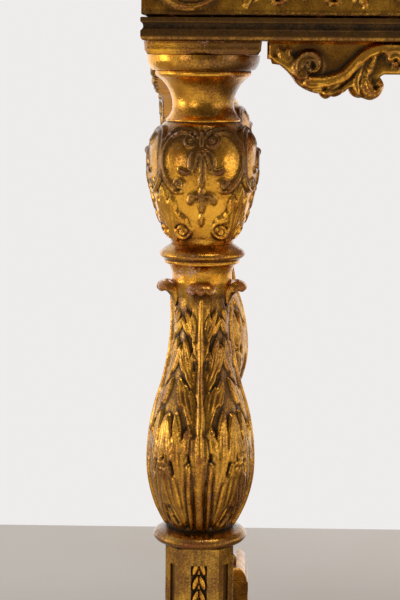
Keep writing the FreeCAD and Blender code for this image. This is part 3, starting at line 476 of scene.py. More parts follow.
class Relief:
    """A height for every place (x, y) of a flattened surface, raised or sunk stroke by stroke."""

    def __init__(self, x, y):
        self.x, self.y = x, y
        self.height, self.cover, self.shade = (np.zeros(x.shape) for _ in range(3))

    def nearest(self, path, reach):
        """The places within reach of a path, their distance from it, and the share of it they lie along."""
        low, high = path.min(axis=0) - reach, path.max(axis=0) + reach
        window = (self.x > low[0]) & (self.x < high[0]) & (self.y > low[1]) & (self.y < high[1])
        x, y = self.x[window], self.y[window]
        distance, along = np.full(x.shape, np.inf), np.zeros(x.shape)
        steps = np.maximum(np.hypot(*np.diff(path, axis=0).T), no_length)
        walked = np.concatenate([[0], np.cumsum(steps)])
        for start, run, step, gone in zip(path[:-1], np.diff(path, axis=0), steps, walked):
            t = np.clip(((x - start[0]) * run[0] + (y - start[1]) * run[1]) / step ** 2, 0, 1)
            apart = np.hypot(x - start[0] - t * run[0], y - start[1] - t * run[1])
            nearer = apart < distance
            distance = np.where(nearer, apart, distance)
            along = np.where(nearer, (gone + t * step) / walked[-1], along)
        return window, distance, along

    def raise_along(self, path, style, half_width, height, root=1.0, moat=0.0, tone=0.0):
        """Raise a ridge along a path, from a root share to its full height; a moat sinks its border."""
        taper, crest = styles[style]
        window, distance, along = self.nearest(path, half_width * stroke_reach)
        q = distance / np.maximum(half_width * taper(along), thinnest)
        ridge = height * (root + (1 - root) * along) * crest(q)
        here = self.height[window]
        self.height[window] = np.where(q < 1, np.maximum(here, ridge), here - moat * bordering(q))
        self.cover[window] = np.maximum(self.cover[window], covering(q))
        self.shade[window] = np.where(q < 1, tone, self.shade[window])

    def raise_lobe(self, fingers, height, root, moat):
        """Raise fingers, each a path and a half width, as one mass with a flute down each finger.

        Where two fingers meet a parting deepens to their tips. The tips are shaded and their rims worn pale.
        A moat sinks what the mass covers and rings it.
        """
        first, second, reach = (np.full(self.x.shape, value) for value in (far_off, far_off, 0.0))
        for path, half_width in fingers:
            window, distance, along = self.nearest(path, half_width * stroke_reach)
            q, gone = np.full(self.x.shape, far_off), np.zeros(self.x.shape)
            q[window] = distance / np.maximum(half_width * finger_taper(along), thinnest)
            gone[window] = along
            nearer = q < first
            second = np.where(nearer, first, np.minimum(second, q))
            first, reach = np.where(nearer, q, first), np.where(nearer, gone, reach)
        parting = np.exp(-((second - first) / 0.2) ** 2) * (0.12 + 0.4 * reach ** 2)
        top = height * (root + (1 - root) * reach) * (scoop_crest(first) - parting)
        self.height = np.maximum(self.height - moat * bordering(first), np.where(first < 1, top, 0))
        self.cover = np.maximum(self.cover, covering(first))
        worn = np.exp(-((first - 0.84) / 0.11) ** 2) * reach
        self.shade = np.where(first < 1, 0.3 * reach ** 3 - 1.0 * worn, self.shade)

    def sink_along(self, path, half_width, depth, uncovers=0.0):
        """Cut a round groove along a path, which may bare the ground under it."""
        window, distance, _ = self.nearest(path, half_width)
        groove = round_crest(distance / half_width)
        self.height[window] -= depth * groove
        self.cover[window] *= 1 - groove * uncovers

    def raise_dot(self, centre, radius, height):
        """Raise a round button."""
        q = np.hypot(self.x - centre[0], self.y - centre[1]) / radius
        self.height = np.maximum(self.height, height * round_crest(q))
        self.cover = np.maximum(self.cover, covering(q))

    def cut(self, strokes, place=lambda x, y: (x, y)):
        """Cut a table of strokes in its order: each is its kind, its path or centre, and its sizes."""
        for kind, path, *sizes in strokes:
            if kind == "button":
                self.raise_dot(place(*path), *sizes)
            elif kind == "lobe":
                self.raise_lobe([(traced(finger, place), width) for finger, width in path], *sizes)
            elif kind == "groove":
                self.sink_along(traced(path, place), *sizes)
            else:
                self.raise_along(traced(path, place), kind, *sizes)
        return self


print("a stroke reaches", stroke_reach, "half widths")

# %% [markdown]
# ## Writing shaders as sums
# A finish is a formula over the surface. Wiring nodes by hand hides that formula, so one small class wraps
# an output socket: sums and products of signals add the Math nodes, and one method makes any other node.

# %% A signal in a node tree


class Signal:
    """An output socket of a node tree. Arithmetic on signals adds Math nodes to the tree."""

    def __init__(self, tree, socket=None):
        self.tree = tree
        self.socket = socket

    def node(self, kind, settings=None, inputs=None, output=0):
        """A node of a kind: its settings first, then its sockets from values or signals, then one output."""
        made = self.tree.nodes.new("ShaderNode" + kind)
        for name, value in (settings or {}).items():
            setattr(made, name, value)
        for name, value in (inputs or {}).items():
            if isinstance(value, Signal):
                self.tree.links.new(value.socket, made.inputs[name])
            else:
                made.inputs[name].default_value = value
        return Signal(self.tree, made.outputs[output])

    def math(self, operation, first, second=0.0, clamp=False):
        """A Math node on values or signals."""
        return self.node("Math", {"operation": operation, "use_clamp": clamp}, {0: first, 1: second})

    def __add__(self, other):
        return self.math("ADD", self, other)

    def __sub__(self, other):
        return self.math("SUBTRACT", self, other)

    def __rsub__(self, other):
        return self.math("SUBTRACT", other, self)

    def __mul__(self, other):
        return self.math("MULTIPLY", self, other)

    __radd__ = __add__
    __rmul__ = __mul__

    def clipped(self):
        """The signal kept between 0 and 1."""
        return self.math("ADD", self, 0.0, clamp=True)

    def rise(self, low, high):
        """A smooth step: 0 below low, 1 above high."""
        inputs = {"Value": self, "From Min": low, "From Max": high}
        return self.node("MapRange", {"interpolation_type": "SMOOTHSTEP"}, inputs, "Result")

    def mix(self, first, second):
        """A colour between two colours, by this signal."""
        return self.node("Mix", {"data_type": "RGBA"}, {0: self, 6: first, 7: second}, 2)

    def noise(self, place, scale, detail=4.0, roughness=0.55, distortion=0.0):
        """Cloudy noise from 0 to 1 at a scale in waves per metre."""
        inputs = {"Vector": place, "Scale": scale, "Detail": detail, "Roughness": roughness,
                  "Distortion": distortion}
        return self.node("TexNoise", None, inputs, "Fac")

    def stretched(self, place, scale):
        """Object coordinates scaled along each axis, for marks that run one way."""
        return self.node("Mapping", {"vector_type": "POINT"}, {"Vector": place, "Scale": scale})

    def shown(self, output_kind):
        """Make this signal the surface of its tree."""
        output = self.tree.nodes.new("ShaderNode" + output_kind)
        self.tree.links.new(self.socket, output.inputs["Surface"])


def emptied(owner):
    """The start of an empty node tree on a material or a world."""
    owner.use_nodes = True
    owner.node_tree.nodes.clear()
    return Signal(owner.node_tree)


def finish(name, paint):
    """A material whose surface the paint function fills from object coordinates."""
    material = bpy.data.materials.new(name)
    start = emptied(material)
    paint(start, start.node("TexCoord", None, None, "Object")).shown("OutputMaterial")
    print("finish", name, "has", len(start.tree.nodes), "nodes")
    return material


print("a signal's methods are", ", ".join(name for name in vars(Signal) if not name.startswith("_")))

# %% [markdown]
# ## Gold leaf, two centuries on
# Water gilding is leaf over red clay over white gesso. Dirt and old glaze lie in the hollows, the high edges
# are rubbed through to the clay and, where they were knocked, to the gesso. So hollowness, tone and a few
# noises make four masks: glaze, dirt, clay and bare gesso. The masks choose colour, metal and roughness
# together. The tone is partly old toning and partly painted light: above 0 it darkens glaze and dirt, partly
# as painted shade, and a tone below 0 stands for a place rubbed pale, which also paints highlights in bright
# leaf and gesso. Fine noise bumps the leaf, because hand-laid leaf is never optically flat.

# %% Gilding
# Glaze brown and dirt black also paint shade, and gesso pink also paints pale highlights.
leaf_bright = (0.88, 0.45, 0.045, 1)
leaf_deep = (0.56, 0.20, 0.012, 1)
glaze_and_painted_shade_brown = (0.095, 0.037, 0.004, 1)
dirt_and_painted_shade_black = (0.018, 0.010, 0.004, 1)
clay_red = (0.30, 0.085, 0.03, 1)
gesso_and_painted_highlight_pink = (0.66, 0.47, 0.36, 1)


def gilded(start, place):
    """Leaf, glaze in patches, hollows and by tone, dirt in deep hollows, clay and gesso on worn edges; the
    tone also paints shade into the glaze and dirt and pale highlights into the leaf and gesso.
    """
    hollow, toned = (start.node("Attribute", {"attribute_name": name}, None, "Fac")
                     for name in ("hollow", "toned"))
    broad = start.noise(place, 14.0, 3.0).rise(0.3, 0.7)
    patch = start.noise(place, 70.0, 4.0, 0.55).rise(0.3, 0.7)
    mottle = start.noise(place, 560.0, 4.0, 0.6).rise(0.3, 0.7)
    speck = start.noise(place, 1100.0, 3.0, 0.65)
    leaf = (broad * 0.45 + patch * 0.4 + mottle * 0.15).mix(leaf_bright, leaf_deep)
    shelter = start.math("MAXIMUM", hollow, -0.15)
    # A tone above 0 darkens glaze, soot and dirt, partly as painted shade.
    glaze_and_painted_shade = (shelter * 2.0 + patch * 0.34 + broad * 0.25 + mottle * 0.34 + toned * 0.9 - 0.25).clipped()
    soot_and_painted_shade = (toned - 1).clipped()
    dirt_and_painted_shade = (hollow * 2.3 + mottle * 0.3 + patch * 0.25 + soot_and_painted_shade * 1.05 - 0.6).clipped()
    # A tone below 0 rubs a place pale, partly as a painted highlight in bright leaf and gesso.
    rubbed_and_painted_highlight = (toned * -0.38).clipped()
    wear = (hollow * -0.6 + patch * 0.7 + mottle * 0.5 - 1.06).rise(0.0, 0.3)
    bare = (hollow * -0.3 + broad * 0.8 + patch * 0.3 + mottle * 0.3 + rubbed_and_painted_highlight - 1.3).rise(0.0, 0.25)
    colour = (glaze_and_painted_shade * 0.9).mix(leaf, glaze_and_painted_shade_brown)
    colour = dirt_and_painted_shade.mix(colour, dirt_and_painted_shade_black)
    colour = (wear * 0.7).mix(colour, clay_red)
    colour = (bare * 0.8).mix(colour, gesso_and_painted_highlight_pink)
    covered = (dirt_and_painted_shade + wear * 0.7 + bare * 0.8).clipped()
    metal = 1 - covered
    rough = (0.17 + mottle * 0.1 + glaze_and_painted_shade * 0.1 + covered * 0.3).clipped()
    height = mottle * 0.07 + speck * 0.03 + patch * 0.5
    normal = start.node("Bump", None, {"Strength": 0.45, "Distance": 0.001, "Height": height})
    varnish = start.math("MINIMUM", (toned * 0.2 + 0.2).clipped(), 0.4)
    return start.node("BsdfPrincipled", None, {
        "Base Color": colour, "Metallic": metal, "Roughness": rough, "Normal": normal,
        "Specular IOR Level": 0.12, "Coat Weight": metal * varnish, "Coat Roughness": 0.16})


gilding = finish("gilding", gilded)


def gilt(node, shells, *behind):
    """A gilt piece in place of one node, with the finish of its bare back if it has one."""
    piece("gilt_" + node, shells, [node], [gilding, *behind])


# %% [markdown]
# ## Marble, pine and oak
# The slab is pale marble with soft grey clouds and thin warm veins: a vein is where a distorted noise crosses
# its middle value. The rails, posts and blocks behind the gilding are old pine, and the pegs are oak. Grain
# is noise stretched along the wood.

# %% Stone and bare wood
marble_white, marble_grey = (0.80, 0.78, 0.74, 1), (0.52, 0.51, 0.50, 1)
vein_dark, hair_brown = (0.20, 0.18, 0.17, 1), (0.42, 0.30, 0.20, 1)
pine_pale, pine_dark = (0.85, 0.42, 0.09, 1), (0.70, 0.31, 0.055, 1)
oak_pale, oak_dark = (0.26, 0.14, 0.06, 1), (0.09, 0.042, 0.016, 1)
grain_long, grain_short, pore_times = 6.0, 90.0, 5


def marbled(start, place):
    """Clouds of grey on white, with veins where warped noise crosses one half."""
    cloud = start.noise(place, 5.0, 5.0, 0.6, 1.2)
    drift = start.noise(place, 3.2, 6.0, 0.62, 2.2)
    thin = start.noise(place, 11.0, 6.0, 0.6, 1.6)
    vein = 1 - start.math("ABSOLUTE", drift - 0.5).rise(0.0, 0.035)
    hair = 1 - start.math("ABSOLUTE", thin - 0.5).rise(0.0, 0.014)
    colour = cloud.rise(0.35, 0.75).mix(marble_white, marble_grey)
    colour = (vein * 0.75).mix(colour, vein_dark)
    colour = (hair * 0.5).mix(colour, hair_brown)
    rough = 0.16 + start.noise(place, 90.0) * 0.12 + vein * 0.06
    return start.node("BsdfPrincipled", None, {"Base Color": colour, "Roughness": rough})


def wooden(pale, dark, along):
    """A paint function for bare wood whose grain runs along one axis."""
    scale = tuple(grain_long if axis == along else grain_short for axis in range(3))

    def paint(start, place):
        """Grain and pores are stretched noises; a broad stain varies the colour."""
        grain = start.noise(start.stretched(place, scale), 1.0, 5.0, 0.6, 0.6)
        pore = start.noise(start.stretched(place, tuple(value * pore_times for value in scale)), 1.0, 3.0)
        stain = start.noise(place, 9.0, 4.0)
        colour = (grain.rise(0.35, 0.7) * 0.8 + stain * 0.3 - 0.1).clipped().mix(pale, dark)
        height = grain + pore * 0.4
        normal = start.node("Bump", None, {"Strength": 0.3, "Distance": 0.0005, "Height": height})
        look = {"Base Color": colour, "Roughness": 0.62 + pore * 0.2, "Normal": normal}
        return start.node("BsdfPrincipled", None, look)

    return paint


marble = finish("marble", marbled)
pine_x, pine_y, pine_z = (finish(name, wooden(pine_pale, pine_dark, axis)) for axis, name in enumerate(
    ("pine_along_x", "pine_along_y", "pine_upright")))
oak = finish("oak", wooden(oak_pale, oak_dark, 0))

# %% [markdown]
# ## The legs: from the axis to four pieces
# Each piece of a leg is drawn once about an upright axis and carried to the legs. The two legs at the back
# are half hidden, so their carving is worked on coarser grids. The top of the leg takes a tone that changes
# across it, partly wear and partly painted light: darker towards the table's middle, a painted shade, and
# rubbed pale towards the outer side, which also paints a highlight there.

# %% Pieces on the legs
coarseness = {"front": 1.0, "back": 1.6}
edge_softness = 1.2
# Tones across a leg: painted shade towards the table's middle, and towards the outer side a pale tone that is
# partly rubbed leaf and partly a painted highlight.
wear_and_painted_light_places = (-46.0, -25.0, 0.0, 20.0, 46.0)
wear_and_painted_light_tones = (0.5, 0.4, 0.0, -0.4, -2.6)


def outer_wear_and_painted_light(grid, corner):
    """Tone across a leg's piece, partly wear and partly painted light: darker towards the table's middle as
    painted shade, paler towards its outer side as rubbed leaf and a painted highlight.
    """
    outward = -1 if "left" in corner else 1
    return np.interp(outward * grid[..., 0], wear_and_painted_light_places, wear_and_painted_light_tones)


def at_leg(grid, corner):
    """A grid drawn about an upright axis, carried to a leg."""
    return grid + np.append(leg_axis[corner], 0)


def leg_piece(corner, name, grids):
    """A gilt piece of one leg, from grids about its axis with their tones and shares of the outer wear and
    painted light.
    """
    shells = [shell(at_leg(grid, corner), toned=tone + share * outer_wear_and_painted_light(grid, corner))
              for grid, tone, share in grids]
    gilt(corner + "_" + name, shells)


def on_legs(name, build):
    """A carved piece on every leg, from the grids that build gives at the coarseness of each row of legs."""
    for row, coarse in coarseness.items():
        grids = build(coarse)
        for corner in (row + "_left", row + "_right"):
            leg_piece(corner, name, grids)


def folded(angle):
    """Degrees from the middle of the nearest of four faces, the same on both sides of it."""
    return np.abs((np.degrees(angle) + 45) % 90 - 45)


def flattened(profile):
    """A function from (degrees, level) to flat (arc length, level) on a turned profile."""
    levels, order = np.unique(profile[:, 1], return_index=True)
    radii = profile[order, 0]

    def flat(degrees, level):
        """The turn in radians times the radius at its level."""
        arc = np.radians(degrees) * np.interp(level, levels, radii)
        return np.stack([arc, np.asarray(level, float)], axis=-1)

    return flat


def carved_round(profile, angle, strokes, radius, wanders, lift=0.0):
    """Strokes cut round a turned profile, lifted by a height, and the level of each place.

    One eighth is drawn and folded out. The two wanders are the size, length and seed of the carver's
    unsteadiness, round the axis in radians and upwards.
    """
    flat = flattened(profile)
    level = np.broadcast_to(profile[:, 1:], (len(profile), len(angle)))
    turned, raised = (unsteady(angle * radius, level, *wander) for wander in wanders)
    place = flat(folded(angle + turned), level + raised)
    carve = Relief(place[..., 0], place[..., 1])
    return carve.cut(strokes, lambda degrees, height: flat(degrees, height + lift)), level


def carved_grid(points, step, columns, level, relief, coarse):
    """A turned outline at a coarseness, carved by a relief function; its grid, tones and profile."""
    profile = softened(points, step * coarse, edge_softness)
    count = int(columns / coarse)
    height, toned = relief(profile, full_turn(count))
    return turned_grid(profile + [0, level], circle_plan(count), height), toned, profile


print("the back legs' grids are", coarseness["back"], "times coarser")

# %% [markdown]
# ## The head of the leg
# Above the baluster stands a turned vase, a hollow neck and an echinus under the abacus. On the vase four
# cartouches repeat: a pair of C-scrolls, a pendant of flowers and husks between them, and an acanthus leaf on
# each corner line. The surface is folded at the middle of each cartouche and at each corner line, so one half
# is drawn and eight are carved. Places on it are degrees from the middle and heights above its foot.

# %% Vase, neck and echinus
head_columns, head_step = 304, 0.78
vase_height = 99.2
vase_radius = 40.0
vase_squareness, vase_sink = 1.4, 1.1
vase_wanders = ((0.5 / vase_radius, 31.0, 3), (0.35, 23.0, 5))
# Tones by level, partly painted light: the lower vase paler, a painted reflection of the floor; the top of
# the neck paler against its shade; the upper vase and the echinus darker, painted shade.
vase_painted_light_levels = (0.0, 12.0, 50.0, 72.0, 95.0, 101.0, 105.0, 126.0, 134.0, 138.0, 141.0, 152.0)
vase_tones_and_painted_light = (0.35, -0.35, -0.35, 0.35, 0.45, -0.1, 0.15, 0.15, -0.3, 0.1, 0.85, 0.85)
wear_and_painted_light_rise = 5.0
head_outline = outline(
    (25.0, 0.0), ("ends upright", (45.4, 70.6)), ("leaves upright", (29.5, vase_height)),
    ("round", (29.5, 101.4), 0.9), ("ends upright", (24.8, 111.9)), ("leaves upright", (36.5, 134.4)),
    ("round", (38.0, 140.0), 1.6), (41.0, 140.0), ("ends upright", (45.5, 150.2)), (45.5, 152.0))
corner_leaf = (
    (((44, 8), (39, 24), (35.5, 42)), 4.8), (((45, 6), (45, 28), (45, 50)), 4.8),
    (((42, 8), (36, 19), (31, 30)), 4.4), (((42, 8), (35, 20), (25, 22.5), (19, 18)), 3.6))
upper_flower = ((((2, 77), (8.5, 73.5), (12, 62)), 3.4), (((0, 74), (0, 66), (0, 57)), 2.7))
lower_flower = ((((2, 42), (9.5, 41), (15, 34)), 3.2), (((0, 41), (0, 36), (0, 28)), 2.7))
c_scroll = ((10, 91.2), (19, 93.0), (28, 92.6), (36, 89.5), (41, 83.5), (43.2, 76.5), (43.4, 69.5),
            (42.8, 62.5), (40, 55.5), (34.5, 49.8), (28, 46.6), (22, 46.4))
vase_strokes = (
    ("lobe", corner_leaf, 3.5, 0.75, 0.7),
    ("button", (27, 13), 7.6, 4.0),
    ("groove", coil((27, 13), 6.0, 1.5, 20, 1), 1.3, 2.4),
    ("strap", c_scroll, 3.0, 2.7, 1.0, 0.6),
    ("button", (24, 51), 5.4, 3.1),
    ("groove", coil((24, 51), 4.1, 1.2, 250, 1), 1.2, 2.2),
    ("button", (12.2, 85.6), 5.8, 3.1),
    ("groove", coil((12.2, 85.6), 4.4, 1.3, 95, 1), 1.1, 2.0),
    ("husk", ((0, 92), (0, 86), (0, 80)), 2.0, 1.9, 1.0, 0.3),
    ("lobe", upper_flower, 2.9, 0.8, 0.6),
    ("leaf", ((12, 61), (18, 60.5), (24, 64)), 2.4, 2.4, 1.0, 0.3),
    ("button", (0, 75.5), 3.8, 3.4),
    ("husk", ((0, 59), (0, 54), (0, 47)), 2.8, 2.6, 1.0, 0.4),
    ("husk", ((0, 47), (0, 44), (0, 40)), 2.4, 2.4, 1.0, 0.3),
    ("lobe", lower_flower, 2.8, 0.85, 0.6),
    ("cord", ((0, 33), (0, 26), (0, 21)), 1.2, 1.4),
    ("husk", ((0, 26), (0, 21), (0, 16)), 2.3, 2.4, 1.0, 0.2),
)


def vase_relief(profile, angle):
    """Cartouche strokes over the vase, as heights above its ground, and the tone of each place, which by
    level is partly painted light.
    """
    carve, level = carved_round(profile, angle, vase_strokes, vase_radius, vase_wanders)
    inside = ramp(level, vase_height - 2, -3) * ramp(level, 1, 4)
    ground = vase_squareness * np.sin(2 * angle) ** 2 - vase_sink
    aside = ramp(carve.x, 10, 6)
    pendant_dark = np.interp(level, (16, 40), (0.9, 1.35))
    scroll_dark = np.interp(level, (26, 52), (0.0, 1.35))
    dark = (1 - aside) * pendant_dark + aside * scroll_dark
    toned = inside * (carve.cover * dark + 0.4 * carve.shade) + np.interp(level, vase_painted_light_levels, vase_tones_and_painted_light)
    return inside * (eased(carve.height, 1) + ground), toned


def head_grids(coarse):
    """The head's one grid, which takes the outer wear and painted light above its vase."""
    grid, toned, profile = carved_grid(
        head_outline, head_step, head_columns, head_bottom, vase_relief, coarse)
    return [(grid, toned, ramp(profile[:, 1:], vase_height, wear_and_painted_light_rise))]


on_legs("head", head_grids)

# %% [markdown]
# ## The acanthus baluster
# Four leaves clothe the swelling body. Each has a reeded rib and five tiers of lobes on either side; every
# lobe is three gouge-cut leaflets that fan from one root, and lower tiers lie over upper ones. Between the
# tiers lie deep pits. At the top each leaf rolls outwards. A height cannot overhang, so the rolled tips are
# closed grids of their own.

# %% Strokes of the leaves
spine = ((0, 2), (0, 60), (0, 120), (0, 196))
tiers = (
    (((24, 175), (29, 184)), 3.0, 3.4, (((9, 159), (14, 171), (18, 181)), 2.8),
     (((9, 159), (21, 170), (35, 184)), 3.6), (((10, 159), (30, 167), (45, 177)), 3.4)),
    (((22, 150), (28, 160)), 3.6, 3.6, (((9, 121), (13, 137), (17, 150)), 3.6),
     (((9, 121), (23, 137), (35, 161)), 5.0), (((11, 121), (33, 137), (46, 156)), 4.2)),
    (((29, 120), (33, 129)), 3.6, 3.7, (((7, 87), (10, 104), (14, 119)), 4.2),
     (((7, 87), (16, 106), (25, 123)), 4.8), (((8, 87), (23, 106), (38, 128)), 5.4)),
    (((19.5, 89), (27, 103)), 4.4, 4.8, (((19, 9), (19, 58), (13.2, 92)), 5.4),
     (((21, 9), (25, 62), (32, 103)), 7.0), (((26, 16), (38, 66), (43.5, 101)), 6.2)),
    (((33, 52), (35, 59)), 2.6, 4.8, (((26, 5), (30, 31), (33, 51)), 4.4),
     (((28, 5), (36, 36), (40, 64)), 5.4), (((30, 4), (43, 34), (48, 62)), 5.4)),
)
foot_lobe = ((((32, 2), (37, 10), (41, 24)), 4.2), (((38, 1), (43, 6), (45, 14)), 4.0))
eyes = (((13, 62), (13.4, 68)), ((11.5, 137), (12, 142)), ((36, 7), (39, 12)), ((40, 16), (42, 22)))
leaf_strokes = [("back", spine, 15.0, 2.4)]
for pit, pit_half, lobe_height, *fingers in tiers:
    leaf_strokes.append(("groove", pit, pit_half, 2.6, 1.0))
    leaf_strokes.append(("lobe", fingers, lobe_height, 0.6, 0.9))
leaf_strokes += [
    ("lobe", foot_lobe, 3.4, 0.7, 1.2), ("button", (14.2, 85), 3.8, 4.9), ("button", (41, 60), 3.6, 4.9),
    ("cord", ((12.6, 1), (12.6, 36), (12.4, 60)), 2.9, 4.2, 1.0, 0.5)]
leaf_strokes += [("groove", eye, 2.3, 1.7, 0.5) for eye in eyes]
leaf_strokes += [
    ("groove", ((8.2, 2), (8.3, 36), (10.2, 63)), 1.5, 1.4),
    ("groove", ((16.8, 2), (16.6, 34), (14.5, 61)), 1.5, 1.4),
    ("rib", spine, 4.0, 4.6, 0.9, 0.5)]
print("half a leaf has", len(leaf_strokes), "strokes")

# %% Baluster with its rolled tips
baluster_columns, baluster_step = 280, 0.92
ring_height = 14.0
body_height = 211.0
body_radius = 36.0
leaf_sink = 2.4
leaf_wanders = ((0.012, 43.0, 11), (0.6, 37.0, 12))
# Tones by level, partly painted light: the ring and the top torus darker, painted shade, and the cove paler,
# a painted reflection of the floor.
leaf_painted_light_levels = (0.0, 12.0, 16.0, 182.0, 196.0, 219.0, 225.0, 233.0, 238.0, 250.0)
leaf_tones_and_painted_light = (0.95, 0.95, 0.5, 0.5, 0.4, 0.3, -0.85, -0.85, 0.5, 0.5)
baluster_outline = outline(
    (29.0, 0.0), (29.0, 2.0), (35.5, 2.0), ("round", (35.5, 11.0), 3.3), (26.5, ring_height),
    ("ends upright", (43.3, 69.0)), ("leaves upright", (33.95, 126.8)), ("ends upright", (23.4, 192.0)),
    (24.6, 225.0), ("leaves upright", (29.6, 234.4)), (31.0, 234.4), (31.0, 238.0),
    ("round", (32.0, 245.8), 3.6), (25.5, 250.0))
tip_rows, tip_columns = 36, 32
tip_half_angle = math.radians(26.0)
tip_root, tip_level, tip_tone = 21.5, 511.0, 0.55
tip_section = np.array([
    (23.0, 494.5), (24.6, 501.0), (28.0, 506.6), (32.0, 509.2), (34.6, 508.4), (36.6, 510.0),
    (36.4, 513.4), (33.6, 516.4), (29.0, 517.0), (25.2, 514.4), (22.0, 508.5), (20.5, 499.0)])


def leaf_relief(profile, angle):
    """Leaf strokes as heights from the turned outline, and the tone of each place, which by level is partly
    painted light.
    """
    carve, level = carved_round(profile, angle, leaf_strokes, body_radius, leaf_wanders, ring_height)
    inside = ramp(level, ring_height + 0.5, 3) * ramp(level, body_height + 8, -12)
    shade = np.interp(level, leaf_painted_light_levels, leaf_tones_and_painted_light)
    toned = inside * (1 - carve.cover) * 0.2 + inside * carve.shade + shade
    return inside * (eased(carve.height, 1) - leaf_sink), toned


def leaf_tip(quarter):
    """A rolled tip: a closed section carried across the leaf, drawn in and scalloped towards its sides."""
    section = through(*np.vstack([tip_section, tip_section[:1]]), count=4)[:-1]
    section = section[np.linspace(len(section) - 1, 0, tip_columns).astype(int)]
    across = np.linspace(-1, 1, tip_rows)[:, None]
    fade = np.sqrt(np.clip(1 - np.abs(across) ** 4, 0, 1))
    outer = ramp(section[:, 0], 24, 12)
    lower = ramp(section[:, 1], 514.5, -3)
    scallop = 1.7 * (1 - np.abs(np.cos(across * 2 * math.pi))) * outer * lower
    ripple = 0.25 * np.cos(across * 4 * math.pi) * outer
    droop = across ** 2 * outer
    radius = tip_root + (section[:, 0] - tip_root) * (0.3 + 0.7 * fade) - 0.5 * scallop + ripple - 2.0 * droop
    level = tip_level + (section[:, 1] - tip_level) * (0.35 + 0.65 * fade) + scallop - 1.2 * droop
    angle = tip_half_angle * across + quarter * math.pi / 2
    return np.stack([radius * np.sin(angle), -radius * np.cos(angle), level], axis=-1)


def baluster_grids(coarse):
    """The carved body and its four rolled tips."""
    grid, toned, _ = carved_grid(
        baluster_outline, baluster_step, baluster_columns, baluster_bottom, leaf_relief, coarse)
    return [(grid, toned, 0.0)] + [(leaf_tip(quarter), tip_tone, 0.0) for quarter in range(4)]


on_legs("baluster", baluster_grids)

# %% [markdown]
# ## Pillar, plinth, abacus and foot
# The eight-sided pillar is a plan carried up its height: each face has a sunk panel with a chain of husks,
# and each chamfer has a flute. The plan holds two columns close together at a panel's edge, which makes its
# wall steep. The square blocks use a rounded square plan, and the bun foot is turned.

# %% Eight-sided pillar
pillar_half, pillar_chamfer = 28.0, 12.0
panel_half, panel_depth = 6.5, 2.0
flute_half, flute_depth = 2.5, 1.6
panel_bottom, panel_margin = 28.0, 14.0
panel_rows = 150
husk_pitch = 12.4
husk_strokes = (("husk", ((4.4, 0.5), (3.1, 5.0), (0.4, 11.8)), 2.4, 2.2, 1.0, 0.3),
                ("husk", ((0, -2), (0, 2.0), (0, 5.5)), 1.3, 1.3))
base_rows = (0, 0.8, 7.2, 8.0, 9.5, 11.0, 12.5, 14.0, 15.0)
base_levels, base_flares = (0, 0.8, 7.2, 8.0, 14.0), (5.2, 6.0, 6.0, 5.4, 0.0)
face_half = pillar_half - pillar_chamfer
chamfer_half = pillar_chamfer / math.sqrt(2)
chamfer_far = (2 * pillar_half - pillar_chamfer) / math.sqrt(2)


def columns_of(sunk_half, near, count, *outer):
    """Places across one side: close together at the edge of what is sunk, then out to the arris."""
    inner = np.linspace(-sunk_half + near, sunk_half - near, count)
    outer = np.array([sunk_half + near, *outer])
    return np.concatenate([-outer[::-1], inner, outer])


def pillar_grids(coarse):
    """Rows up the pillar; panels and flutes are sunk along their own side's normal."""
    height = baluster_bottom - pillar_bottom
    shaft = np.linspace(panel_bottom - 0.2, height - panel_margin + 0.2, int(panel_rows / coarse))
    rows = np.concatenate([base_rows, shaft, [height - 6, height - 0.8, height]])[:, None]
    flare = np.interp(rows, base_levels, base_flares)
    within = (rows > panel_bottom) & (rows < height - panel_margin)
    face = columns_of(panel_half, 0.2, 17, 8.0, 12.0, face_half - 1.2, face_half - 0.3)
    chamfer = columns_of(flute_half, 0.15, 7, 5.0, chamfer_half - 0.9, chamfer_half - 0.3)
    across, level = np.broadcast_arrays(np.abs(face), rows % husk_pitch)
    husks = Relief(across, level).cut(husk_strokes).height
    husks = np.where(within & (np.abs(face) < panel_half - 0.5), husks, 0)
    kinds = ((face, pillar_half, panel_half, panel_depth, husks),
             (chamfer, chamfer_far, flute_half, flute_depth, 0.0))
    sides, tones = [], []
    for eighth in range(8):
        places, far, sunk_half, depth, raised = kinds[eighth % 2]
        sunk = within & (np.abs(places) < sunk_half)
        out = far + flare - sunk * depth + raised
        along = places * (1 + flare / pillar_half)
        angle = eighth * math.pi / 4
        x = along * math.cos(angle) + out * math.sin(angle)
        y = along * math.sin(angle) - out * math.cos(angle)
        sides.append(np.stack([x, y, np.broadcast_to(rows, x.shape) + pillar_bottom], axis=-1))
        tones.append(1.0 + sunk * (0.5 - 1.1 * np.clip(raised / 1.5, 0, 1)))
    return [(np.concatenate(sides, axis=1), np.concatenate(tones, axis=1), 0.0)]


on_legs("pillar", pillar_grids)

# %% Plinth, abacus and bun foot
block_step, block_softness = 1.2, 1.6
block_wanders = ((0.16, 27.0, 21), (0.12, 11.0, 22))
foot_columns = 96
abacus_plan, plinth_plan, foot_plan = square_plan(60, 0.05), square_plan(30, 0.025), circle_plan(foot_columns)
abacus_outline = outline((1, 0), (43.6, 0), (44.2, 2.4), (45.4, 2.8), (46.2, 11.0), (1, 11.0))
plinth_outline = outline((1, 0), (47.5, 0), (47.5, 34.0), (45.9, 34.0), ("leaves upright", (38.5, 47.0)),
                         (1, 47.0))
foot_outline = outline((1, 0), (27.0, 0), ("ends upright", (46.0, 21.0)), ("leaves upright", (31.0, 38.0)),
                       (31.0, 41.0), (36.0, 41.0), (36.0, 45.0), (1, 45.0))


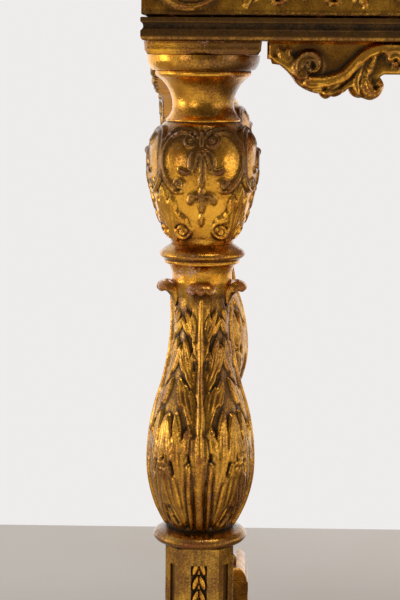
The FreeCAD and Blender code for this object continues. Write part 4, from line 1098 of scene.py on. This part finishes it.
def blocky(points, plan, level, softness, fine_from):
    """A moulded block on a plan, with its faces slightly uneven as hand-cut gesso is."""
    profile = softened(points, block_step, softness, fine_from)
    grid = turned_grid(profile + [0, level], plan)
    x, y, z = np.moveaxis(grid, -1, 0)
    wobble = sum(unsteady(places, z, *wander) for places, wander in zip((x, y), block_wanders))
    return grid + wobble[..., None] * np.append(plan, np.zeros((len(plan), 1)), axis=1)


abacus_grid = blocky(abacus_outline, abacus_plan, abacus_bottom, edge_softness, fine_from=38.0)
plinth_grid = blocky(plinth_outline, plinth_plan, plinth_bottom, block_softness, fine_from=35.0)
foot_profile = softened(foot_outline, block_step, block_softness, fine_from=24.0)
foot_grid = turned_grid(foot_profile, foot_plan)
blocks = {"abacus": (abacus_grid, 0.95, 1.0), "plinth": (plinth_grid, 0.6, 0.0),
          "foot": (foot_grid, 0.6, 0.0)}
for corner in corners:
    for name, block in blocks.items():
        leg_piece(corner, name, [block])

# %% [markdown]
# ## Mouldings and the carved frieze
# Three strips run round the front and the sides: a lower moulding, the frieze and a cornice. Each is a closed
# profile, drawn outwards from the leg's axis, carried along its side. The strip reaches further the further
# out its profile lies, and that alone mitres the corners. The frieze carries roundels with scrolls between
# them.

# %% Strips round the frame
legs_middle_y = (front_leg_y + back_leg_y) / 2
half_depth = (back_leg_y - front_leg_y) / 2
back_end = half_depth + box("left_frieze")[1][1] - back_leg_y
side_signs = {"right": 1, "left": -1}
strip_fine = 42.0


def by_side(front, side):
    """A value for the front and one for both sides."""
    return {"front": front, "left": side, "right": side}


legs_half = by_side(leg_x, half_depth)


def on_side(along, out, level, side):
    """Places along a side, out from the line of the legs and up, in the table's own axes."""
    along, out, level = np.broadcast_arrays(along, out, level)
    if side == "front":
        return np.stack([along, front_leg_y - out, level], axis=-1)
    sign = side_signs[side]
    return np.stack([sign * (leg_x + out), legs_middle_y + sign * along, level], axis=-1)


def run_of(out, side, share):
    """Distance along a side at a share of its length, mitred in front and square at the back."""
    if side == "front":
        return (2 * share - 1) * (leg_x + out)
    near = -(half_depth + out)
    run = near + share * (back_end - near)
    return run if side == "right" else -run[:, ::-1]


def strip(points, side, step, softness, columns, relief):
    """A closed profile carried along a side; relief gives how far each place moves out, and its tone."""
    profile = softened(np.vstack([points, points[:1]]), step, softness, strip_fine)[:-1]
    out = np.broadcast_to(profile[:, :1], (len(profile), columns))
    level = np.broadcast_to(profile[:, 1:], out.shape)
    along = run_of(out, side, np.linspace(0, 1, columns)[None, :])
    height, toned = relief(along, out, level, side)
    return shell(on_side(along, out + height, level, side), (True, False), toned)


print("strips run", 2 * leg_x, "mm between the front legs and", 2 * half_depth, "mm along a side")

# %% Frieze, moulding and cornice
moulding_outline = outline(
    (34.5, 0), (46.7, 0), ("ends upright", (48.5, 3.6)), (48.5, 8.0), (47.7, 8.0),
    ("round", (47.7, 14.0), -1.4), (48.5, 14.0), (48.5, 18.0), (34.5, 18.0))
frieze_face = 47.9
frieze_outline = outline((34.5, 0), (43.9, 0), (43.9, 1.6), (frieze_face, 1.6), (frieze_face, 64.0),
                         (34.5, 64.0))
cornice_outline = outline(
    (34.5, 0), (49.3, 0), (49.3, 3.0), ("leaves upright", (53.55, 9.25)), ("ends upright", (57.8, 15.5)),
    (59.4, 15.5), (59.4, 21.0), (34.5, 21.0))
roundel_offset, roundel_radius = 12.6, 28.0
winding_pitch = 6.4
pattern_lift = 2.0
frieze_wanders = ((0.4, 47.0, 31), (0.4, 39.0, 32))
roundel_counts = by_side(6, 3)
frieze_sink = 2.2
leaf_root_share, leaf_moat = 0.8, 0.3
shell_tips = ((9, 18), (15, 10), (16, 0))
scroll_leaves = ((2, -10, (46, -27), 5.0), (2, -10, (55, -22), 3.6), (2, -10, (40, -16), 3.4),
                 (4, 12, (44, 25), 4.4), (4, 12, (52, 19), 3.4))


def frieze_strokes(mid):
    """Half a repeat, from a roundel to the middle of a shell: the shell, a C-scroll and its leaves."""
    strokes = [("leaf", ((mid, -18), (mid, -4), (mid, 20)), 5.0, 2.4, leaf_root_share, leaf_moat)]
    for back, top in shell_tips:
        path = ((mid - 1, -16), (mid - 5, top - 12), (mid - back, top))
        strokes.append(("leaf", path, 3.4, 2.3, leaf_root_share, leaf_moat))
    band = ((mid - 19, -13), (mid - 30, -8), (mid - 38, 2), (mid - 36, 15), (mid - 26, 22))
    strokes.append(("scroll", coil((mid - 22, -18), 6.0, 1.6, 60, -1), 2.0, 2.4, 1.0, 0.3))
    strokes.append(("strap", band, 2.4, 2.2, 1.0, 0.4))
    strokes.append(("scroll", coil((mid - 24, 16), 6.0, 1.5, 110, -1), 2.0, 2.4, 1.0, 0.3))
    for root, bend, tip, half_width in scroll_leaves:
        path = ((mid - 38, root), (mid - 42, bend), tip)
        strokes.append(("leaf", path, half_width, 2.3, leaf_root_share, leaf_moat))
    return strokes


def frieze_relief(along, out, level, side):
    """Roundels over the legs and along the side, with C-scrolls, leaves and a shell between each two."""
    spacing = 2 * legs_half[side]
    from_front = along + spacing / 2 if side != "left" else spacing / 2 - along
    period = (spacing + 2 * roundel_offset) / roundel_counts[side]
    x = (from_front + roundel_offset + period / 2) % period - period / 2
    y = level - (frieze_top + frieze_bottom) / 2 - pattern_lift
    aside, raised = (unsteady(from_front, level, *wander) for wander in frieze_wanders)
    x, y = x + aside, y + raised
    height = Relief(np.abs(x), y).cut(frieze_strokes(period / 2)).height
    radius = np.hypot(x, y)
    ring = ramp(radius, roundel_radius + 1.5, -1.5)
    turn = np.arctan2(y, x) / (2 * math.pi)
    winding = np.sin(2 * math.pi * (radius / winding_pitch - turn))
    height = np.where(ring > 0, ring * (1.9 + 1.1 * winding), height)
    face = (out > frieze_face - 0.6) & (level > frieze_bottom + 2.2) & (level < frieze_top - 0.5)
    rim = ramp(level, frieze_bottom + 2.0, 3.0)
    # Near its bottom edge the face is toned darker, a painted shadow along the frieze's lower edge.
    tone = np.where(face, 0.27 + 0.5 * np.clip(height / 2.4, 0, 1) + 1.5 * (1 - rim), 2.0)
    return np.where(face, rim * (height - frieze_sink), 0), tone


def darkened(along, out, level, side):
    """No relief, but a dark tone over the moulding, lighter along its lowest edge and its two arrises."""
    arrises = sum(np.exp(-((level - frame_bottom - worn) / 0.7) ** 2) for worn in (8.2, 14.2))
    return 0.0, 2.6 * np.clip((level - frame_bottom - 2.5) / 2.0, 0.37, 1) - 1.1 * arrises


def plain(along, out, level, side):
    """No relief and no toning."""
    return 0.0, 0.0


# Each strip is its outline at its level, its step, its softness, its columns in front and its relief.
strips = {
    "lower_moulding": (moulding_outline + [0, frame_bottom], 0.8, 0.9, 160, darkened),
    "frieze": (frieze_outline + [0, frieze_bottom], 1.25, 1.3, 820, frieze_relief),
    "cornice": (cornice_outline + [0, frieze_top], 1.0, 1.0, 120, plain),
}
for side in ("front", *side_signs):
    for name, (points, step, softness, columns, relief) in strips.items():
        side_columns = columns if side == "front" else columns // 2
        gilt(side + "_" + name, [strip(points, side, step, softness, side_columns, relief)])

# %% [markdown]
# ## The carved aprons
# An apron is a board sawn to a scrolled outline and carved on its face. The board is a fine regular grid:
# cells inside the outline are kept, and the ragged rim is pulled onto the outline along the slope of the
# distance to it. The face takes its relief, the back stays flat bare wood, and walls join their rims. The
# side boards are seen less, so their cells are coarser.

# %% Boards sawn to an outline
board_cells, board_tones = by_side(1.0, 1.4), by_side(0.4, 0.9)
board_round = 2.6
steep_edge = 1.0
least_slope = 0.3


def outline_distance(points, x, y):
    """Distance to a closed outline, below 0 inside it, where a level ray crosses the outline an odd time."""
    distance = np.full(x.shape, np.inf)
    inside = np.zeros(x.shape, bool)
    for start, end in zip(points, np.roll(points, -1, axis=0)):
        run = end - start
        length = max(run @ run, no_area)
        t = np.clip(((x - start[0]) * run[0] + (y - start[1]) * run[1]) / length, 0, 1)
        distance = np.minimum(distance, np.hypot(x - start[0] - t * run[0], y - start[1] - t * run[1]))
        crosses = (start[1] > y) != (end[1] > y)
        rise = run[1] if abs(run[1]) > no_area else no_area
        inside ^= crosses & (x < start[0] + (y - start[1]) / rise * run[0])
    return np.where(inside, -distance, distance)


def sawn_board(points, relief, front, back, side, top):
    """A board of an outline, carved in front by the relief and flat behind."""
    cell = board_cells[side]
    low, high = points.min(axis=0) - 2 * cell, points.max(axis=0) + 2 * cell
    x, y = np.meshgrid(np.arange(low[0], high[0], cell), np.arange(low[1], high[1], cell))
    gap = outline_distance(points, x, y)
    kept = (gap[:-1, :-1] + gap[1:, :-1] + gap[:-1, 1:] + gap[1:, 1:]) < 0
    touching = np.zeros(gap.shape, int)
    for rows in (slice(None, -1), slice(1, None)):
        for cols in (slice(None, -1), slice(1, None)):
            touching[rows, cols] += kept
    used = touching > 0
    rim = used & (touching < 4)
    slope_y, slope_x = np.gradient(gap, cell)
    steep = np.maximum(slope_x ** 2 + slope_y ** 2, least_slope)
    x = np.where(rim, x - gap * slope_x / steep, x)
    y = np.where(rim, y - gap * slope_y / steep, y)
    depth = np.clip(-gap, 0, board_round) / board_round
    height, shade = relief(x, y)
    once, thrice = eased(height, 1, False), eased(height, 3, False)
    height = np.where(np.hypot(*np.gradient(thrice)) > steep_edge, thrice, once)
    rounding = board_round * (1 - np.sqrt(1 - (1 - depth) ** 2)) * 0.8
    face = front + height * np.clip(depth * 3, 0, 1) - rounding
    # The last term darkens the 9 mm under the top edge, a painted shadow under the moulding.
    shade = shade + board_tones[side] + 0.25 * np.clip(height / 3, 0, 1) + 0.3 * np.clip(1 + y / 9, 0, 1)
    hollow = hollowness(np.stack([x, -face, y], axis=-1), (False, False))
    count = np.count_nonzero(used)
    index = np.full(gap.shape, -1)
    index[used] = np.arange(count)
    quads = quads_of(index)[kept]
    first, second = quads.ravel(), np.roll(quads, -1, axis=1).ravel()
    lone = ~np.isin(first * count + second, second * count + first)
    walls = np.stack([second[lone], first[lone], first[lone] + count, second[lone] + count], axis=1)
    backs = np.zeros(count)
    return {
        "points": np.vstack([on_side(x, out, top + y, side)[used] for out in (face, back)]),
        "quads": np.vstack([quads, walls, quads[:, ::-1] + count]),
        "ends": [],
        "hollow": np.concatenate([hollow[used], backs]),
        "toned": np.concatenate([shade[used], backs]),
        "bare": np.repeat([0, 1], [len(quads), len(walls) + len(quads)]),
    }


print("cells of the boards", board_cells)

# %% Apron outline
bracket_width, bracket_drop = 91.0, 44.6
apron_band = 25.0
bow_steps = 9
end_shares = [(0.0, 0.31), (0.03, 0.31), (0.042, 0.39), (0.105, 0.41)]
bracket_arc_shares = [
    [(0.105, 0.41), (0.185, 0.55), (0.248, 0.72)], [(0.248, 0.72), (0.34, 0.845), (0.451, 0.906)],
    [(0.451, 0.906), (0.493, 0.99), (0.549, 0.946)], [(0.549, 0.946), (0.61, 0.935), (0.70, 0.805)],
    [(0.70, 0.805), (0.745, 0.945), (0.814, 0.965)], [(0.814, 0.965), (0.91, 1.0), (0.985, 0.87)],
    [(0.985, 0.87), (1.0, 0.74), (0.963, 0.604)],
]
pendant_arc_shares = [
    [(1.0, 0.0), (0.96, 0.22), (0.885, 0.34)], [(0.885, 0.34), (0.70, 0.40), (0.55, 0.55)],
    [(0.55, 0.55), (0.46, 0.73), (0.30, 0.76)], [(0.30, 0.76), (0.20, 0.96), (0.0, 1.0)],
]


def apron_outline(half, pendant_half, pendant_drop):
    """The apron's outline below its top edge: two mirrored brackets, a band and a pendant."""
    bracket = np.array([bracket_width, -bracket_drop])
    pendant = np.array([-pendant_half, apron_band - pendant_drop])
    runs = [np.array([(-half, 0.0)]), np.array(end_shares) * bracket - [half, 0]]
    runs += [bowed(*(np.array(arc) * bracket - [half, 0]), bow_steps)[1:] for arc in bracket_arc_shares]
    runs.append(np.array([(bracket_width - half, -apron_band)]))
    runs += [bowed(*(np.array(arc) * pendant - [0, apron_band]), bow_steps) for arc in pendant_arc_shares]
    left = np.vstack(runs)
    return np.vstack([left, left[-2::-1] * [-1, 1]])


print("an apron's bracket is", bracket_width, "by", bracket_drop)

# %% Apron carving
sheath = ((((44, 34), (30, 36), (21, 27), (19, 11)), 4.4), (((36, 36), (22, 31), (11, 17)), 4.2),
          (((48, 34), (36, 38), (26, 34)), 4.0))
sprig = ((((20, 22), (13, 15), (9, 5)), 3.2), (((20, 22), (11, 17), (3, 12)), 3.0),
         (((21, 20), (16, 12), (16, 4)), 2.8))
near_lobe = ((((73, 13), (66, 25), (55, 34), (43, 41.5)), 5.6),
             (((75, 12), (69, 24), (62, 33), (56, 40)), 5.2), (((70, 17), (60, 29), (48, 35)), 4.8))
far_lobe = ((((79, 10), (73, 22), (70, 33), (71.4, 42.5)), 4.6),
            (((81, 9), (76, 22), (75, 34), (79, 43)), 4.4),
            (((84, 8), (79, 20), (78, 32), (84, 42), (91, 39)), 4.4))
stem = ((33, 31.5), (45, 31), (59, 26.5), (67.2, 18.5), (75.4, 10.5), (83.6, 6.2), (96, 4.0), (112, 4.2))
gouges = (
    coil((34, 18), 10.6, 0.8, 150, 1), coil((34, 18), 7.6, 0.7, 150, 1),
    ((40, 35), (52, 33.5), (63, 27), (72, 17)), ((42, 37), (54, 36), (62, 31)),
    ((48, 40), (57, 35), (66, 27), (73, 17)), ((77, 15), (73, 26), (72.5, 38)),
    ((80, 13), (76, 25), (77, 38), (82, 41.5)), ((82, 12), (79, 22), (79, 31)))
bracket_strokes = [
    ("lobe", sheath, 4.4, 0.8, 0.8), ("lobe", sprig, 4.0, 0.8, 0.6),
    ("lobe", near_lobe, 4.8, 0.75, 0.9), ("lobe", far_lobe, 5.2, 0.8, 0.9),
    ("curl", coil((84, 34), 8.2, 0.85, 200, -1), 3.8, 6.2, 1.0, 0.4),
    ("groove", ((81.5, 26), (83, 30), (84.5, 33)), 2.8, 3.6),
    ("stem", stem, 4.8, 6.0, 1.0, 0.9, -0.6),
    ("button", (34, 18), 12.0, 2.0),
    ("curl", coil((34, 18), 9.8, 1.1, 140, 1), 6.4, 6.6, 1.0, 0.8),
    ("groove", ((33, 20), (35, 18)), 2.6, 2.5),
    *(("groove", gouge, 1.0, 1.5) for gouge in gouges),
    ("scroll", ((93, 9), (100, 7), (106, 14), (104, 21)), 2.6, 4.2, 1.0, 0.5),
    ("scroll", ((95, 13), (100, 11), (106, 18), (104, 21)), 2.6, 4.2, 1.0, 0.5)]
band_leaves = (((24, 22), (32, 9)), ((34, 22.5), (40, 13)), ((46, 6), (38, 12)), ((54, 8), (46, 15)))
band_pitch, band_start = 62, 10
palmette_reach_shares = {84: 0.9, 68: 0.82, 50: 0.80, 33: 0.86, 16: 0.94, 0: 0.97}
palmette_foot, palmette_margin = 8, 12
finger_width_share = 0.075
apron_wander = (0.25, 31.0, 41)


def band_strokes(period):
    """One repeat of the band: a scroll, a wave that runs on into the next repeat, and four leaves."""
    strokes = [("scroll", coil((14, 14), 8.0, 1.7, 200, 1), 2.4, 4.4, 1.0, 0.6),
               ("cord", ((6, 15), (3, 8), (14, 4), (30, 6), (46, 16), (period + 2, 17)), 2.4, 4.0, 1.0, 0.6)]
    for tip, root in band_leaves:
        bend = ((tip[0] + root[0]) / 2 - 2, (tip[1] + root[1]) / 2)
        strokes.append(("leaf", (root, bend, tip), 3.2, 3.6, 0.7, 0.5))
    return strokes


def palmette_strokes(half, drop):
    """Fingers that fan from a button, each at its angle in degrees and reaching its share of the pendant."""
    strokes = []
    for degrees, reach_share in palmette_reach_shares.items():
        lean = math.radians(degrees)
        x = half * reach_share * math.sin(lean)
        rise = (drop - palmette_margin) * reach_share * math.cos(lean) ** 0.9
        path = ((0.8, palmette_foot), (x * 0.45, palmette_foot + rise * 0.5), (x, palmette_foot + rise))
        strokes.append(("finger", path, finger_width_share * (half + drop), 4.8, 0.7, 0.6))
    return strokes + [("button", (0, 9), 9.0, 6.4)]


def apron_relief(half, pendant_half, pendant_drop):
    """The carved face: volute, stem, lobes and curl on each bracket, scrolls on the band, a palmette."""
    band_length = half - bracket_width - pendant_half
    period = (band_length - band_start) / max(round(band_length / band_pitch), 1)

    def relief(x, y):
        """Heights and tones, from the distance to the board's nearer end and the drop below its top; the
        tones hold a painted shade over the coil.
        """
        u, v = half - np.abs(x) + unsteady(x, y, *apron_wander), -y
        carve = Relief(u, v).cut(bracket_strokes)
        on_band = (u > bracket_width + 6) & (u < half - pendant_half - 2)
        place = np.where(on_band, (u - bracket_width - band_start) % period, -math.inf)
        band = Relief(place, v).cut(band_strokes(period))
        palmette = Relief(np.abs(x), v).cut(palmette_strokes(pendant_half, pendant_drop))
        # A painted shade over the volute's coil.
        coil_painted_shade = np.exp(-((u - 33) / 12) ** 2 - ((v - 14) / 10) ** 2)
        height = np.maximum(np.maximum(carve.height, band.height), palmette.height)
        return height, 0.5 * carve.shade + 0.75 * coil_painted_shade

    return relief


apron_gap = 4.0
apron_front, apron_back = 41.5, 23.5
pendants = by_side((150.0, 96.0), (126.0, 92.0))
for side, pendant in pendants.items():
    half = legs_half[side] - abacus_half - apron_gap
    sizes = (half, *pendant)
    sawn, carved = apron_outline(*sizes), apron_relief(*sizes)
    board = sawn_board(sawn, carved, apron_front, apron_back, side, frame_bottom)
    gilt(side + "_apron", [board], pine_x if side == "front" else pine_y)

# %% [markdown]
# ## Stretcher, boss and finial
# Four flat serpentine arms meet at an oval boss that carries an urn. An arm is a stepped section carried
# along two tangent arcs, leaning at a fixed angle, with a round pad under its plinth.

# %% Stretcher
arm_lean = math.radians(50.0)
arm_landing, arm_tenon = 30.0, 18.0
arm_step, arm_section_step = 8.0, 1.8
flat_tone = 0.35
boss_low, boss_high = box("stretcher_boss")
boss_half = (boss_high - boss_low)[:2] / 2
boss_centre = middle("stretcher_boss")
arm_section = np.array([(-31.0, 0), (31.0, 0), (31.0, 13.0), (27.0, 13.0), (27.0, 22.0), (-27.0, 22.0),
                        (-27.0, 13.0), (-31.0, 13.0), (-31.0, 0)])
pad_outline = outline((1, 0), (46.5, 0), (46.5, 13.0), (42.5, 13.0), (42.5, 22.0), (1, 22.0))


def arm_path():
    """Middle line of the front left arm about the boss: two arcs that leave and land along the lean."""
    turn = np.array([[math.cos(arm_lean), math.sin(arm_lean)], [-math.sin(arm_lean), math.cos(arm_lean)]])
    start = turn @ (leg_axis["front_left"] - boss_centre)
    landing = np.array([-boss_half[0] * math.sqrt(1 - (arm_landing / boss_half[1]) ** 2), -arm_landing])
    end = turn @ landing + [arm_tenon, 0]
    meet = (start + end) / 2
    first = upright_arc(start[::-1], meet[::-1])[:, ::-1]
    second = upright_arc(end[::-1], meet[::-1])[::-1, ::-1]
    return np.vstack([first, second[1:]]) @ turn


def arm_grid(sign_x, sign_y):
    """The stepped section, softened, carried along the arm and mirrored to its corner."""
    path = softened(arm_path(), arm_step, arm_step)
    ahead = np.gradient(path, axis=0)
    across = np.stack([-ahead[:, 1], ahead[:, 0]], axis=1) / np.linalg.norm(ahead, axis=1, keepdims=True)
    section = softened(arm_section, arm_section_step, arm_section_step)[:-1]
    plan = path[:, None, :] + across[:, None, :] * section[None, :, :1]
    plan = plan * [sign_x, sign_y] + boss_centre
    level = np.broadcast_to(section[None, :, 1] + stretcher_bottom, plan.shape[:2])
    grid = np.append(plan, level[..., None], axis=2)
    return grid[:, ::-1] if sign_x * sign_y > 0 else grid


pad_profile = softened(pad_outline, block_step, block_softness, fine_from=38.0)
pad_grid = turned_grid(pad_profile + [0, stretcher_bottom], foot_plan)
for corner in corners:
    signs = (1 if "left" in corner else -1, 1 if "front" in corner else -1)
    grids = (arm_grid(*signs), at_leg(pad_grid, corner))
    gilt(corner + "_stretcher_arm", [shell(grid, toned=flat_tone) for grid in grids])

# %% Boss and urn finial
boss_columns, finial_columns = 160, 112
finial_step = 1.3
gadroon_count, gadroon_depth = 8, 1.2
hidden_inset = -20.0
boss_outline = outline((-60.0, 0), (0, 0), (0, 22.0), (-12.0, 22.0), (-12.0, 29.0), (-60.0, 29.0))
boss_profile = softened(boss_outline, block_step, block_softness, hidden_inset)
gilt("stretcher_boss", [shell(rim_grid(boss_profile, circle_plan(boss_columns), boss_low, boss_high))])
finial_outline = outline(
    (1, 0), (30.0, 0), (30.0, 6.0), ("ends upright", (9.0, 28.0)), ("ends upright", (29.0, 48.0)),
    ("leaves upright", (13.0, 68.0)), (21.0, 68.0), (21.0, 76.0), ("ends upright", (4.0, 102.0)),
    ("ends upright", (8.0, 110.0)), ("leaves upright", (1.0, 118.0)))
finial_profile = softened(finial_outline, finial_step, finial_step)
cup = np.exp(-((finial_profile[:, 1:] - 46) / 11) ** 4)
gadroons = cup * gadroon_depth * (np.abs(np.cos(gadroon_count * full_turn(finial_columns))) - 1)
finial_grid = turned_grid(finial_profile + [0, boss_high[2]], circle_plan(finial_columns), gadroons)
gilt("stretcher_finial", [shell(finial_grid + np.append(boss_centre, 0))])

# %% [markdown]
# ## The marble slab
# The slab is a rectangle with a moulded edge in front and at the sides and a square edge behind. One profile,
# offset inwards from the slab's rim, is carried round a rounded rectangle.

# %% Slab
slab_low, slab_high = box("marble_slab")
slab_outline = outline((-60.0, 0), (-6.0, 0), (-6.0, 7.0), (-4.0, 7.0), ("round", (-8.0, 27.0), 5.6),
                       (-60.0, 27.0))
slab_softness = 1.0
slab_profile = softened(slab_outline, block_step, slab_softness, hidden_inset)
rim_plan = square_plan(50, 0.004)
behind = ramp(rim_plan[:, 1], 0.97, 0.03)
moulded = slab_profile[:, :1] > hidden_inset
back_inset = slab_profile[:, :1] * np.where(moulded, 1 - behind, 1)
slab_grid = rim_grid(slab_profile, rim_plan, slab_low, slab_high, back_inset)
piece("marble_top", [shell(slab_grid)], ["marble_slab"], [marble])

# %% [markdown]
# ## The frame behind the gilding
# Rails, posts, bearers, glue blocks and pegs keep their packed shapes, because sawn wood needs no more, and
# get bare wood whose grain runs along each piece.

# %% Bare wood on the frame
for name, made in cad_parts.items():
    if made.hide_render:
        continue
    if name in ("left_rail", "right_rail", "left_bearer", "right_bearer"):
        material = pine_y
    elif name.endswith("_post"):
        material = pine_z
    else:
        material = oak if name == "spigot_pegs" else pine_x
    made.data.materials.clear()
    made.data.materials.append(material)
    print(name, "gets", material.name)

# %% [markdown]
# ## Camera, floor and light
# The view is close to the front left leg, level with the underside of its abacus and tilted down. The lens
# follows from the picture's height and the focal length in pixels. A floor ends behind the table: beige under
# and behind the table, a painted shade on a pale floor, and pale in front of it. The world is bright behind
# and beside the table and dimmer in front of it and above, with three soft window glows in front and at the
# side that draw the highlights on the gold, and one large lamp lights the slab.

# %% Camera
picture_height = 600.0
focal_pixels = 1700.0
eye_from_leg = np.array([22.7, -1380.0])
camera_tilt, camera_yaw, camera_roll = (math.radians(degrees) for degrees in (8.2, 1.0, 0.45))


def linked(name, data):
    """An object of its data, in the scene."""
    made = bpy.data.objects.new(name, data)
    bpy.context.scene.collection.objects.link(made)
    return made


camera_data = bpy.data.cameras.new("view")
camera_data.sensor_fit = "VERTICAL"
camera_data.sensor_height = 36.0
camera_data.lens = camera_data.sensor_height * focal_pixels / picture_height
camera = linked("view", camera_data)
camera.location = Vector(np.append(leg_axis["front_left"] + eye_from_leg, abacus_bottom) * MM)
camera.rotation_euler = (
    Matrix.Rotation(camera_yaw, 3, "Z") @ Matrix.Rotation(math.pi / 2 - camera_tilt, 3, "X")
    @ Matrix.Rotation(camera_roll, 3, "Z")).to_euler()
bpy.context.scene.camera = camera
print("lens", camera_data.lens, "eye", tuple(camera.location))

# %% Floor
floor_ahead, floor_behind, floor_side = -3.0, 0.82, 3.0
# Beige and grey under and behind the table paint shade on a pale floor; the pale colour is the floor in
# front.
floor_painted_shade_beige, floor_painted_shade_grey = (0.31, 0.265, 0.215, 1), (0.36, 0.325, 0.29, 1)
floor_pale = (0.80, 0.77, 0.72, 1)


def floored(start, place):
    """A floor with faint clouds: beige under and behind the table, a painted shade on a pale floor, and pale
    further in front.
    """
    painted_shade_beige = start.noise(place, 3.0, 3.0).mix(floor_painted_shade_beige, floor_painted_shade_grey)
    forward = start.node("SeparateXYZ", None, {0: place}, "Y")
    colour = (forward * -1).rise(0.3, 0.9).mix(painted_shade_beige, floor_pale)
    return start.node("BsdfPrincipled", None, {"Base Color": colour, "Roughness": 0.55})


floor_mesh = bpy.data.meshes.new("floor")
floor_corners = [(-floor_side, floor_ahead, 0), (floor_side, floor_ahead, 0), (floor_side, floor_behind, 0),
                 (-floor_side, floor_behind, 0)]
floor_mesh.from_pydata(floor_corners, [], [(0, 1, 2, 3)])
floor_mesh.materials.append(finish("floor", floored))
floor = linked("floor", floor_mesh)
floor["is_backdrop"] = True

# %% World and lamp
backdrop = (0.86, 0.84, 0.83, 1)
glow_front, glow_back = (1.0, 0.93, 0.84, 1), (0.92, 0.95, 1.0, 1)
windows = (((-0.59, -0.78, -0.1), 3.2), ((0.80, -0.58, -0.1), 2.1), ((-0.98, -0.05, -0.1), 3.3))
world = bpy.data.worlds.new("studio")
bpy.context.scene.world = world
start = emptied(world)
ray = start.node("LightPath", None, None, "Is Camera Ray")
toward = start.node("TexCoord", None, None, "Generated")
depth, height = (start.node("SeparateXYZ", None, {0: toward}, axis) for axis in ("Y", "Z"))
around = depth.rise(-0.8, 0.1)
lit = (around * 1.1 + 0.26) * (1 - height.rise(0.25, 0.95) * 0.55)
for window, power in windows:
    facing = start.node("VectorMath", {"operation": "DOT_PRODUCT"}, {0: toward, 1: window}, "Value")
    lit = lit + facing.rise(0.945, 0.985) * power
seen = ray.mix(around.mix(glow_front, glow_back), backdrop)
strength = ray + (1 - ray) * lit
start.node("Background", None, {"Color": seen, "Strength": strength}).shown("OutputWorld")
lamp_data = bpy.data.lights.new("overhead", "AREA")
lamp_data.shape = "DISK"
lamp_data.size = 2.4
lamp_data.energy = 90.0
lamp = linked("overhead", lamp_data)
lamp.location = (0.0, 0.2, 3.0)
bpy.context.scene.view_settings.view_transform = "Standard"
print("lamp", lamp_data.energy, "world", backdrop)

# %% [markdown]
# ## The sizes side by side
# The box of the dressed table is printed beside the box of the construction model.

# %% Sizes
visual_low, visual_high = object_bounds()
sizes = {"cad": [list(cad_low), list(cad_high)], "visual": [list(visual_low), list(visual_high)]}
print(sizes)
